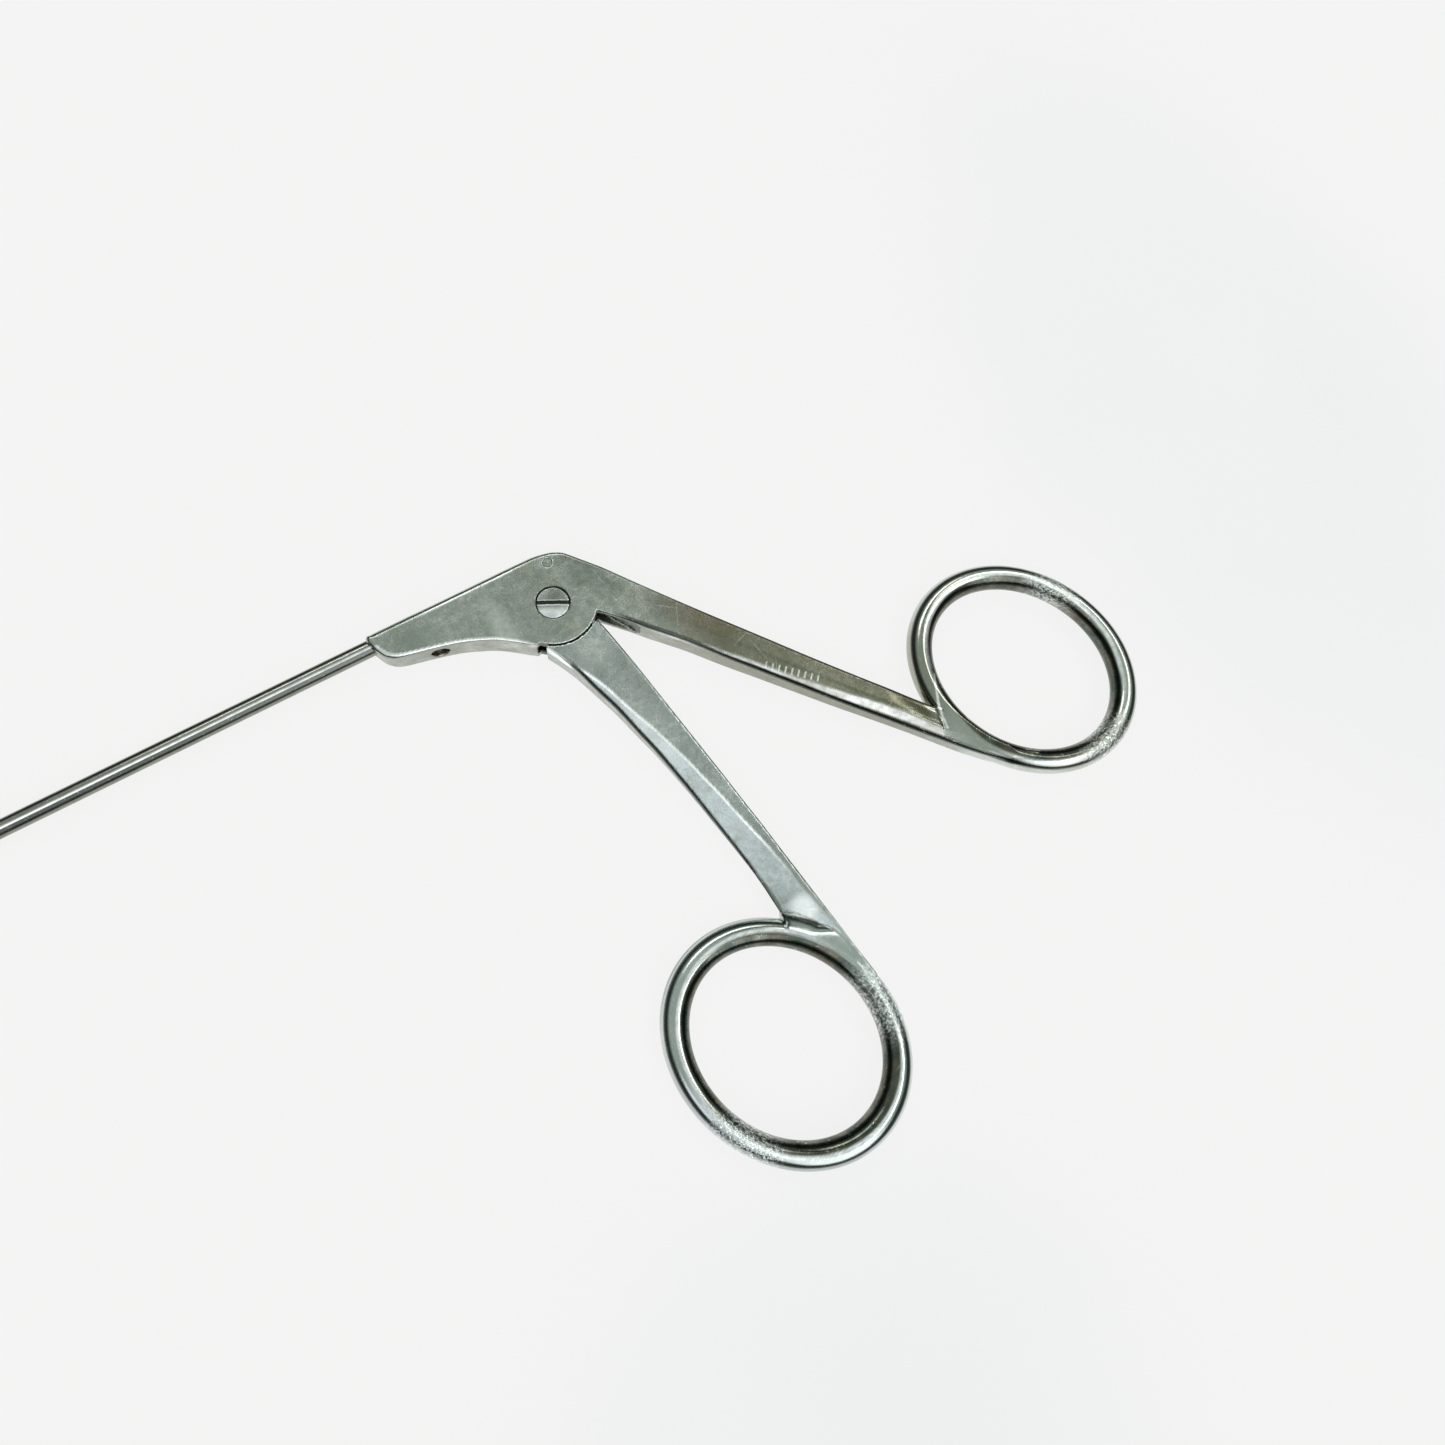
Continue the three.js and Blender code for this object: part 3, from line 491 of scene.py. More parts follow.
slot_outline = [
    (-4.5, -9), (-4.9, -4.3), (-5.5, -2.2), (-5.8, 0), (-5.8, 7.62), (-1.6, 7.62), (-0.4, 7.5), (0.2, 7.5), (2.14, 7.32), (2.67, 7.17), (3.0, 7.05),
    (3.25, 6.75), (3.6, 6.05),
    (4.5, 4.6), (5.6, 2.2), (5.8, 0), (6.1, -2.6), (7.4, -5.2), (8.6, -7.2), (9.2, -8.7), (8.6, -10.4), (7, -12),
]

STRIP_W = [(13.5, 0), (16, 0.3), (20, 0.68), (24, 0.86), (28, 1.14), (32, 1.45), (36, 1.6), (40, 1.35), (44, 1.9), (50, 2.2)]
shank_low = spline([(5.25, -4.3), (8.1, -7.3), (10.1, -9.63), (13.95, -14.05), (17.6, -18.76), (21.47, -23.46), (25.48, -28.34), (29.62, -33.33),
                    (33.8, -38.1), (37.8, -42.9), (41.9, -47.75), (45.3, -51.2), (47.8, -53.1), (50.5, -55.3), (54.0, -57.5)])
shank_up = spline([(-1.0, 8.08), (3.4, 7.0), (6.4, 4.3), (8.6, 1.6), (13.3, -4.6), (18.0, -10.9), (23.7, -18.3), (29.3, -25.7),
                   (35.1, -33.0), (38.6, -37.1), (44, -43)])


def build_handle():
    g = Plane((handle_lo[0] - 1.2, handle_lo[1] - 1.6), (handle_hi[0] + 1.2, handle_hi[1] + 1.4), 0.1)
    d, at = g.polyline(handle_outline, True)
    g.f["u"] = d + at[..., 2]
    g.f["ry"], g.f["rz"] = at[..., 0], at[..., 1]
    g.f["rho"], g.f["c2"] = g.ellipse(REAR_RING)
    low, _ = g.polyline(shank_low, False)
    up, _ = g.polyline(shank_up, False)
    X, Y = g.X, g.Y
    base = ramp(X, [(-26, 2.15), (-2, 2.5), (8, 2.5), (39, 2.15), (80, 2.15)])
    # the flat rolls off a little towards the upper edge of the shank
    on_shank = smoothstep(-2, 14, X)
    base = base - on_shank * 0.02 * np.clip(1 - up / 4.5, 0, 1) ** 2
    base = base - (1 - on_shank) * 0.015 * np.clip(1 - np.abs(Y - 8.1) / 5, 0, 1) ** 2
    w = ramp(X, STRIP_W)
    k = ramp(X, [(14, 0.36), (24, 0.44), (38, 0.44), (46, 0.3)])
    strip = base - k * np.maximum(w - low, 0)
    rho = g.f["rho"]
    dip = 0.42 * smoothstep(9.0, 4.1, rho) * np.clip((low - w) / 2.0, 0, 1)
    wide = 2.6 + 2.3 * smoothstep(0.2, 3.6, up)
    flank = 2.12 * np.sqrt(np.clip(1 - ((rho - 1.75) / wide) ** 2, 0, 1))
    g.f["h"] = np.minimum(strip, np.maximum(base - dip, np.where((rho < 4.8) & (rho > 1.0), flank, -2.0)))
    g.f["low"], g.f["strip_w"] = low, w
    g.f["vridge"], _ = g.polyline([(40.3, -43.2), (40.6, -41.3), (41.2, -39.3), (42.05, -37.3), (43.0, -35.5)], False)
    # flat ground across the top of the ring where the shank runs into it
    along = (X - 39.9) * 0.348 + (Y + 43.0) * 0.937
    right = (X - 39.9) * 0.937 - (Y + 43.0) * 0.348
    t = np.clip(along / 7.5, 0, 1)
    cut = 1.80 + 0.32 * (1 - (1 - t) ** 2) + 0.05 * np.minimum(along, 0) + 0.03 * right + 0.3 * np.maximum(right - 8.5, 0) + 0.25 * np.maximum(along - 9, 0)
    g.f["top_cut"] = np.where(right > -0.25, cut, 4.0)
    g.f["vcrease"] = line(rho - 1.75 - 0.56 * wide, 0.06, 0.22) * (right < -0.3) * (low > w) * (Y > -46) * (Y < -34)
    g.f["slot"], _ = g.polyline(slot_outline, True)

    def f(x, y, z):
        zc = z - HALF
        u, h = g.at("u", x, y), g.at("h", x, y)
        ry, rz = g.at("ry", x, y), g.at("rz", x, y)
        rz = np.minimum(rz, h * 0.95)
        body = rounded_plate(u, np.abs(zc) - h + rz, ry, rz)
        ring = ring_solid(REAR_RING, g.at("rho", x, y), g.at("c2", x, y), zc)
        s = smin(body, ring, 0.16)
        s = smax(s, np.abs(zc) - g.at("top_cut", x, y), 0.06)
        run_out = 0.68 * smoothstep(4.6, 5.6, x)
        s = np.maximum(s, -np.maximum(g.at("slot", x, y), band(z, 1.4 - run_out, 3.6 + run_out)))
        ry_, rz_ = y - SHAFT_Y, z - MID_Z
        r = np.hypot(ry_, rz_)
        s = np.maximum(s, -np.maximum(r - TUBE_R - 0.02, x + 12.3))
        s = np.maximum(s, -np.maximum(r - 0.92, band(x, -13, -5)))
        s = np.maximum(s, -np.maximum(np.hypot(x - SET_X, z - MID_Z) - SET_R - 0.1, y - SHAFT_Y))
        rp = np.hypot(x - PIVOT[0], y - PIVOT[1])
        s = np.maximum(s, -np.maximum(rp - SCREW_R - 0.07, SCREW_TOP - 0.93 - z))
        s = np.maximum(s, -(rp - 1.53))
        s = np.maximum(s, -np.maximum(np.hypot(x - PLUG[0], y - PLUG[1]) - PLUG_R - 0.02, 3.0 - z))
        return s

    lo = (handle_lo[0] - 0.25, handle_lo[1] - 0.35, Z_LO)
    hi = (handle_hi[0] + 0.25, handle_hi[1] + 0.35, Z_HI)
    ob = contoured("handle_forging", f, lo, hi, 0.2, lambda v: handle_attributes(g, v))
    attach(ob, "fixed_body")
    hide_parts("fixed_handle")
    return ob


# ------------------------------------------------------------------ moving lever
lever_outline = np.vstack([
    arc_pts(6.5, -124.6, -53.0, 50, 0.12, 0.12, 0.12),
    sec([(4.33, -5.55), (4.6, -6.6), (5.2, -10), (5.85, -14), (6.42, -18), (6.98, -22), (7.55, -26), (8.1, -30), (8.67, -34),
         (9.17, -38), (9.73, -42), (10.2, -46), (10.7, -50), (11.17, -54), (11.65, -58), (12.1, -62), (12.45, -64.6), (12.8, -67.0)], 0.28, 0.3, 0.28),
    sec([(12.2, -69.3), (10.9, -65.3), (9.2, -61.4), (7.2, -58.9), (4.9, -56.9)], 0.3, 0.3, 0.3, False),
    sec([(6.05, -53.4), (5.75, -48), (5.1, -43), (4.35, -38), (3.75, -34), (3.05, -30), (2.3, -26), (1.35, -22), (0.42, -18),
         (-0.77, -14), (-1.97, -10), (-3.07, -7.4)], 0.36, 0.38, 0.3),
    np.array([(-4.02, -5.6, 0.12, 0.12, 0.12)]),
])
facet_line = spline([(-4.6, -4.3), (-3.7, -6.3), (-2.75, -8.2), (-1.65, -10.2), (-0.65, -12), (0.25, -14), (0.95, -16), (1.55, -18), (2.2, -20),
                     (2.95, -22), (3.6, -24), (4.2, -26), (4.8, -28), (5.35, -30), (5.8, -32), (6.3, -34), (6.8, -36), (7.2, -38), (7.65, -40),
                     (8.1, -42), (8.55, -44), (8.95, -46), (9.35, -48), (9.7, -50), (10.05, -52), (10.4, -54), (10.85, -57), (11.3, -60)])
lever_back = spline([(4.6, -6.6), (5.85, -14), (6.98, -22), (8.1, -30), (9.17, -38), (10.2, -46), (11.17, -54), (12.1, -62), (12.9, -70)])
lever_front = spline([(-3.07, -7.4), (-1.97, -10), (-0.77, -14), (0.42, -18), (1.35, -22), (2.3, -26), (3.05, -30), (3.75, -34), (4.35, -38), (5.1, -43), (5.75, -48), (6.05, -53.4)])


def build_lever():
    g = Plane((lever_lo[0] - 1.2, lever_lo[1] - 1.2), (lever_hi[0] + 1.2, lever_hi[1] + 1.2), 0.1)
    d, at = g.polyline(lever_outline, True)
    g.f["u"] = d + at[..., 2]
    g.f["ry"], g.f["rz"] = at[..., 0], at[..., 1]
    g.f["rho"], g.f["c2"] = g.ellipse(FRONT_RING)
    X, Y = g.X, g.Y
    base = ramp(-Y, [(-10, 2.5), (8, 2.5), (52, 2.15), (90, 2.15)])
    back, _ = g.polyline(lever_back, False)
    front = np.vstack([facet_line[:, :2], [(2.0, -75.0), (-30, -75), (-30, -4.3)]])
    s, _ = g.polyline(front, True)
    drop = ramp(-Y, [(4, 0.6), (50, 0.577), (53, 0.5)]) * np.maximum(-s, 0)
    rho = g.f["rho"]
    dip = 0.95 * smoothstep(8.2, 4.3, rho) * smoothstep(0.0, 2.6, back)
    wide = 2.95 + 3.6 * smoothstep(-57.6, -60.8, Y) * smoothstep(5.0, 3.5, back)
    flank = 2.12 * np.sqrt(np.clip(1 - ((rho - 1.85) / wide) ** 2, 0, 1))
    face = np.minimum(base - drop, base - dip)
    g.f["h"] = np.maximum(np.maximum(face, np.where((rho < 5.2) & (rho > 1.0), flank, -2.0)), 0.25)
    g.f["front"], _ = g.polyline(lever_front, False)
    g.f["ridge"], _ = g.polyline(facet_line, False)
    g.f["crease"] = line(rho - 4.12, 0.1, 0.22) * smoothstep(0.8, 2.4, back) * (Y > -60) * (Y < -50)
    pin_lo, pin_hi = cad_box("lever_drive_pin")
    pin = (pin_lo + pin_hi)[:2] / 2
    arm = np.vstack([[(-1.9, 2.0), (-0.4, 5.2)],
                     pin + 1.2 * np.stack([np.cos(np.radians(np.linspace(190, 0, 24))), np.sin(np.radians(np.linspace(190, 0, 24)))], 1),
                     [(3.4, 3.4), (3.6, 1.5)]])
    neck = np.vstack([arc_pts(5.2, -128, -50, 10), [(4.2, -8), (-2.4, -8)]])
    a, _ = g.polyline(arm, True)
    n, _ = g.polyline(neck, True)
    g.f["tongue"] = np.minimum(np.minimum(a, n), np.hypot(X, Y) - 5.5)

    def f(x, y, z):
        zc = z - HALF
        u, h = g.at("u", x, y), g.at("h", x, y)
        ry, rz = g.at("ry", x, y), g.at("rz", x, y)
        rz = np.minimum(rz, h * 0.95)
        body = rounded_plate(u, np.abs(zc) - h + rz, ry, rz)
        ring = ring_solid(FRONT_RING, g.at("rho", x, y), g.at("c2", x, y), zc)
        s = smin(body, ring, 0.16)
        t = np.maximum(g.at("tongue", x, y), band(z, 1.5, 3.5))
        t = np.maximum(t, -np.maximum(band(z, 2.1, 2.9), 3.6 - y))
        t = np.maximum(t, -(np.hypot(x, y) - 1.56))
        t = np.maximum(t, -(np.hypot(x - pin[0], y - pin[1]) - 0.61))
        return np.minimum(s, t)

    lo = (lever_lo[0] - 0.25, lever_lo[1] - 0.25, Z_LO)
    hi = (lever_hi[0] + 0.25, lever_hi[1] + 0.25, Z_HI)
    ob = contoured("lever_forging", f, lo, hi, 0.2, lambda v: lever_attributes(g, v))
    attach(ob, "lever")
    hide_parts("moving_lever")
    return ob


# ------------------------------------------------------------------ screws and plug
def build_small():
    def screw(x, y, z):
        r = np.hypot(x, y)
        c, s = math.cos(math.radians(-27)), math.sin(math.radians(-27))
        across = -x * s + y * c
        dome = SCREW_TOP - 0.01 - 0.13 * (r / SCREW_R) ** 2
        head = np.maximum(r - SCREW_R, z - dome)
        head = np.maximum(head, (r - SCREW_R + z - SCREW_TOP + 0.22) * 0.707)
        head = np.maximum(head, SCREW_TOP - 0.89 - z)
        body = np.maximum(r - 1.5, band(z, 0.02, 4.6))
        out = np.minimum(head, body)
        cut = np.maximum(np.abs(across) - 0.29, 4.5 - z)
        back_cut = np.maximum(np.abs(across) - 0.25, z - 0.4)
        return np.maximum(out, np.maximum(-cut, -back_cut))

    def screw_attributes(v):
        x, y, z = v.T
        c, s = math.cos(math.radians(-27)), math.sin(math.radians(-27))
        across = -x * s + y * c
        r = np.hypot(x, y)
        # painted shade in the slot, in the gap round the head and over the head's upper half; painted highlights on
        # its lower side and along the slot edges
        slot = smoothstep(0.36, 0.30, np.abs(across)) * smoothstep(TOP - 0.12, TOP - 0.2, z) * (z > TOP - 1.0)
        dark = np.maximum(slot * smoothstep(-0.22, -0.08, across), smoothstep(SCREW_R - 0.06, SCREW_R - 0.01, r) * smoothstep(TOP - 0.3, TOP - 0.42, z))
        dark = np.maximum(dark, 0.34 * smoothstep(0.3, 0.6, across) * smoothstep(TOP - 0.5, TOP - 0.35, z))
        light = np.maximum(slot * smoothstep(-0.08, -0.22, across) * 0.5,
                           0.75 * smoothstep(-0.45, -1.5, across) * smoothstep(TOP - 0.5, TOP - 0.35, z))
        light = np.maximum(light, line(across + 0.40, 0.05, 0.08) * smoothstep(TOP - 0.25, TOP - 0.15, z) * 0.5)
        light = np.maximum(light, line(across - 0.36, 0.03, 0.06) * smoothstep(TOP - 0.25, TOP - 0.15, z) * 0.3)
        return {"dark": dark, "light": light * (1 - dark)}

    ob = contoured("screw_head", screw, (-SCREW_R - 0.2, -SCREW_R - 0.2, -0.15), (SCREW_R + 0.2, SCREW_R + 0.2, TOP + 0.2), 0.075, screw_attributes)
    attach(ob, "fixed_body")
    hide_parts("pivot_screw")
    parts = [ob]

    def plug(x, y, z):
        r = np.hypot(x - PLUG[0], y - PLUG[1])
        out = np.maximum(r - PLUG_R, band(z, float(plug_lo[2]), float(plug_hi[2]) - 0.01 - 0.04 * r * r))
        dimple = np.hypot(np.hypot(x - PLUG[0] - 0.12, y - PLUG[1]), z - float(plug_hi[2]) - 0.06) - 0.27
        return np.maximum(out, -dimple)

    ob = contoured("plug_face", plug, (PLUG[0] - 0.8, PLUG[1] - 0.8, float(plug_lo[2]) - 0.1),
                   (PLUG[0] + 0.8, PLUG[1] + 0.8, float(plug_hi[2]) + 0.1), 0.05)
    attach(ob, "fixed_body")
    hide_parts("access_plug")
    parts.append(ob)

    def grub(x, y, z):
        r = np.hypot(x - SET_X, z - MID_Z)
        y0, y1 = float(set_lo[1]), float(set_hi[1])
        out = np.maximum(r - SET_R, band(y, y0, y1))
        out = np.maximum(out, (r - SET_R + y0 - y + 0.2) * 0.707)
        return np.maximum(out, -np.maximum(np.abs(z - MID_Z) - 0.2, y - y0 - 0.5))

    ob = contoured("shaft_grub_screw", grub, (SET_X - SET_R - 0.1, float(set_lo[1]) - 0.1, MID_Z - SET_R - 0.1),
                   (SET_X + SET_R + 0.1, float(set_hi[1]) + 0.1, MID_Z + SET_R + 0.1), 0.08)
    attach(ob, "fixed_body")
    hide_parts("shaft_set_screw")
    parts.append(ob)
    return parts


# ------------------------------------------------------------------ shaft
def build_tube():
    x0, x1 = float(tube_lo[0]), float(tube_hi[0])
    inner = 0.9
    prof = [(x0 + 0.02, inner), (x0, inner + 0.03), (x0, TUBE_R - 0.06), (x0 + 0.06, TUBE_R)]
    n = 60
    prof += [(x0 + 0.06 + (x1 - x0 - 0.12) * i / n, TUBE_R) for i in range(1, n)]
    prof += [(x1 - 0.06, TUBE_R), (x1, TUBE_R - 0.06), (x1, inner + 0.03), (x1 - 0.02, inner)]
    seg = 96
    a = np.linspace(0, 2 * np.pi, seg, endpoint=False)
    v = np.array([(x, SHAFT_Y + r * math.cos(t), MID_Z + r * math.sin(t)) for x, r in prof for t in a])
    m = len(prof)
    q = []
    for i in range(m):
        for j in range(seg):
            i2, j2 = (i + 1) % m, (j + 1) % seg
            q.append((i * seg + j, i * seg + j2, i2 * seg + j2, i2 * seg + j))
    ob = mesh_object("shaft_outer_tube", v, np.array(q))
    bm = bmesh.new()
    bm.from_mesh(ob.data)
    bmesh.ops.recalc_face_normals(bm, faces=bm.faces)
    for e in bm.edges:
        if len(e.link_faces) == 2 and e.calc_face_angle(0) > math.radians(30):
            e.smooth = False
    bm.to_mesh(ob.data)
    bm.free()
    co = np.array([p.co for p in ob.data.vertices]) * 1000.0
    x, across = co[:, 0], np.degrees(np.arctan2(-(co[:, 1] - SHAFT_Y), co[:, 2] - MID_Z))
    # painted reflections round the tube, keyed to the angle about its axis: a dark band (dark), a bright line (light),
    # and darker upper and lower zones (film, carried on the patina attribute inner)
    s = np.where(np.abs(across - 20) < 90, np.sin(np.radians(across - 20)), 2.0)
    fade = ramp(x, [(-60, 1.0), (-24, 0.85), (-14, 0.5)])
    dark = line(s - 0.30, 0.19, 0.10) * fade
    light = line(s + 0.06, 0.04, 0.14) * 0.9
    # film here is painted shade: darker zones on the tube's upper and lower sides
    film = np.maximum(smoothstep(0.42, 0.60, s) * 0.72, smoothstep(-0.2, -0.36, s) * 0.5)
    for key, val in (("dark", dark), ("light", light * (1 - dark)), ("inner", film), ("ring", film * 0)):
        ob.data.attributes.new(key, "FLOAT", "POINT").data.foreach_set("value", np.asarray(val, np.float32))
    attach(ob, "fixed_body")
    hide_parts("shaft_tube")
    return ob


# ------------------------------------------------------------------ working end
def build_jaws():
    tip, pitch, tooth = JAW[0] - 12.0, 0.8, 0.28
    bite_y = SHAFT_Y - 0.15
    t0, t1 = JAW[0] - 5.0, JAW[0] - 12.0 + 0.6

    def bite(x):
        ph = np.mod((t0 - x) / pitch, 1.0)
        tri = -tooth / 2 + tooth * (1 - np.abs(2 * ph - 1))
        return bite_y + np.where(x > t0, -tooth / 2, np.where(x < t1 - 0.3, 0.0, tri))

    def bar(x, y, z):
        s = x - tip
        nose = 0.97 * np.sqrt(np.clip(1 - (np.clip(0.95 - s, 0, 2) / 0.95) ** 2, 0, 1))
        r = np.where(s < 0.95, nose, ramp(s, [(0.95, 0.97), (2.2, 1.06), (3.6, 1.15), (5.0, 1.2), (6.2, 1.222), (7, TUBE_R)]))
        return np.maximum(np.hypot(y - SHAFT_Y, z - MID_Z) - r, -s)

    def fixed(x, y, z):
        s = np.maximum(bar(x, y, z), np.minimum(y - bite(x) + 0.04, JAW[0] - 4.1 - x))
        s = np.maximum(s, x + 204.02)
        s = np.maximum(s, -box_solid(x, y, z, (JAW[0] - 4.75, 0, 1.87), (JAW[0] + 4.5, 20, 3.13)))
        s = np.maximum(s, -np.maximum(np.hypot(y - SHAFT_Y, z - MID_Z) - 0.82, JAW[0] + 2.2 - x))
        return np.maximum(s, -(np.hypot(x - JAW[0], y - JAW[1]) - 0.37))

    lo, hi = cad_box("fixed_jaw")
    ob = contoured("jaw_fixed_blade", fixed, lo - 0.12, hi + 0.12, 0.09)
    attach(ob, "fixed_body")
    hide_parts("fixed_jaw")
    parts = [ob]

    open_deg = 18.0
    close, opening = JOINTS["lever_pivot"]["range_deg"][1], -JOINTS["lever_pivot"]["range_deg"][0]
    stroke = 6.2 * math.sin(math.radians(80)) * math.radians(close)
    per_rad = stroke / math.radians(open_deg)
    total = open_deg * (1 + opening / close)
    cam = []
    for i in range(-4, 53):
        a = math.radians(total * i / 48)
        px, py = -3.1 + per_rad * a, SHAFT_Y - JAW[1]
        cam.append((JAW[0] + px * math.cos(a) - py * math.sin(a), JAW[1] + px * math.sin(a) + py * math.cos(a)))
    arc = [(JAW[0] + 0.8 * math.cos(math.radians(t)), JAW[1] + 0.8 * math.sin(math.radians(t))) for t in np.linspace(75, -105, 24)]
    root = np.array(arc + [(JAW[0] - 0.9, SHAFT_Y - 1.2), (JAW[0] - 1.6, SHAFT_Y - 1.15), (JAW[0] - 3.3, SHAFT_Y - 0.62),
                           (JAW[0] - 3.9, SHAFT_Y - 0.4), (JAW[0] - 4.6, bite_y + 0.3), (JAW[0] - 4.6, SHAFT_Y + 1.15),
                           (JAW[0] - 3, SHAFT_Y + 1.15)])
    g = Plane((JAW[0] - 13, SHAFT_Y - 3), (JAW[0] + 3, SHAFT_Y + 3), 0.04)
    g.f["root"], _ = g.polyline(root, True)
    g.f["cam"], _ = g.polyline(np.array(cam), False)
    c, s_ = math.cos(math.radians(open_deg)), math.sin(math.radians(open_deg))

    def moving(x, y, z):
        dx, dy = x - JAW[0], y - JAW[1]
        x, y = JAW[0] + dx * c - dy * s_, JAW[1] + dx * s_ + dy * c
        s = np.maximum(bar(x, y, z), np.maximum(bite(x) + 0.04 - y, x - JAW[0] + 4.3))
        s = np.minimum(s, np.maximum(g.at("root", x, y), band(z, 1.95, 2.45)))
        s = np.maximum(s, -np.maximum(g.at("cam", x, y) - 0.345, band(z, 1.6, 2.54)))
        return np.maximum(s, -np.maximum(np.hypot(x - JAW[0], y - JAW[1]) - 0.39, band(z, 0, 5)))

    lo, hi = cad_box("moving_jaw")
    ob = contoured("jaw_moving_blade", moving, lo - 0.12, hi + 0.12, 0.07)
    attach(ob, "jaw")
    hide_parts("moving_jaw")
    parts.append(ob)
    return parts


def turned_pin(name, node, body):
    """A pin with chamfered ends, along Z."""
    lo, hi = cad_box(node)
    cx, cy, r = (lo[0] + hi[0]) / 2, (lo[1] + hi[1]) / 2, (hi[0] - lo[0]) / 2
    ch = min(0.08, r * 0.2)
    prof = [(0.0, lo[2]), (r - ch, lo[2]), (r, lo[2] + ch), (r, hi[2] - ch), (r - ch, hi[2]), (0.0, hi[2])]
    seg = 48
    bm = bmesh.new()
    rings = []
    for pr, pz in prof:
        if pr < 1e-9:
            rings.append([bm.verts.new((cx / 1000, cy / 1000, pz / 1000))])
        else:
            rings.append([bm.verts.new(((cx + pr * math.cos(2 * math.pi * i / seg)) / 1000,
                                        (cy + pr * math.sin(2 * math.pi * i / seg)) / 1000, pz / 1000)) for i in range(seg)])
    for a, b in zip(rings, rings[1:]):
        for i in range(seg):
            j = (i + 1) % seg
            if len(a) == 1:
                bm.faces.new((a[0], b[j], b[i]))
            elif len(b) == 1:
                bm.faces.new((a[i], a[j], b[0]))
            else:
                bm.faces.new((a[i], a[j], b[j], b[i]))
    bmesh.ops.recalc_face_normals(bm, faces=bm.faces)
    for fc in bm.faces:
        fc.smooth = True
    for e in bm.edges:
        if len(e.link_faces) == 2 and e.calc_face_angle(0) > math.radians(30):
            e.smooth = False
    me = bpy.data.meshes.new(name)
    bm.to_mesh(me)
    bm.free()
    ob = bpy.data.objects.new(name, me)
    bpy.context.scene.collection.objects.link(ob)
    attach(ob, body)
    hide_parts(node)
    return ob


# ------------------------------------------------------------------ node helpers
class Nodes:
    def __init__(self, tree):
        self.t = tree

    def new(self, kind, **props):
        n = self.t.nodes.new(kind)
        for k, v in props.items():
            setattr(n, k, v)
        return n

    def put(self, socket, value):
        if isinstance(value, bpy.types.NodeSocket):
            self.t.links.new(value, socket)
        elif value is not None:
            if hasattr(socket.default_value, "__len__") and not hasattr(value, "__len__"):
                value = [value] * len(socket.default_value)
            if hasattr(value, "__len__") and len(value) == 3 and len(socket.default_value) == 4:
                value = tuple(value) + (1.0,)
            socket.default_value = value

    def math(self, op, a, b=None, c=None, clamp=False):
        n = self.new("ShaderNodeMath", operation=op, use_clamp=clamp)
        for s, v in zip(n.inputs, (a, b, c)):
            self.put(s, v)
        return n.outputs[0]

    def vmath(self, op, a, b=None, scale=None, out=0):
        n = self.new("ShaderNodeVectorMath", operation=op)
        self.put(n.inputs[0], a)
        if b is not None:
            self.put(n.inputs[1], b)
        if scale is not None:
            self.put(n.inputs["Scale"], scale)
        return n.outputs[out]

    def remap(self, v, a, b, c=0.0, d=1.0, smooth=False):
        n = self.new("ShaderNodeMapRange", interpolation_type="SMOOTHSTEP" if smooth else "LINEAR")
        for s, x in zip(n.inputs, (v, a, b, c, d)):
            self.put(s, x)
        return n.outputs[0]

    def mix(self, fac, a, b, mode="MIX"):
        n = self.new("ShaderNodeMix", data_type="RGBA", blend_type=mode)
        self.put(n.inputs[0], fac)
        self.put(n.inputs[6], a)
        self.put(n.inputs[7], b)
        return n.outputs[2]

    def noise(self, vec, scale, detail=2.0, rough=0.5, distortion=0.0):
        n = self.new("ShaderNodeTexNoise")
        self.put(n.inputs["Vector"], vec)
        self.put(n.inputs["Scale"], scale)
        self.put(n.inputs["Detail"], detail)
        self.put(n.inputs["Roughness"], rough)
        self.put(n.inputs["Distortion"], distortion)
        return n.outputs[0]

    def voronoi(self, vec, scale, feature="F1"):
        n = self.new("ShaderNodeTexVoronoi", feature=feature)
        self.put(n.inputs["Vector"], vec)
        self.put(n.inputs["Scale"], scale)
        return n.outputs["Distance"]

    def turned(self, vec, deg, scale):
        n = self.new("ShaderNodeMapping", vector_type="TEXTURE")
        self.put(n.inputs["Vector"], vec)
        n.inputs["Rotation"].default_value = (0, 0, math.radians(deg))
        n.inputs["Scale"].default_value = [1.0 / v for v in scale]
        return n.outputs[0]

    def blob(self, vec, centre, inner, outer, squeeze=(1, 1, 1), deg=0.0):
        """1 within `inner` of a point, fading to 0 at `outer`; millimetres."""
        d = self.vmath("SUBTRACT", vec, centre)
        if deg or squeeze != (1, 1, 1):
            d = self.turned(d, deg, squeeze)
        return self.remap(self.vmath("LENGTH", d, out=1), inner, outer, 1.0, 0.0, True)


def add_all(nd, values):
    out = values[0]
    for v in values[1:]:
        out = nd.math("ADD", out, v)
    return out


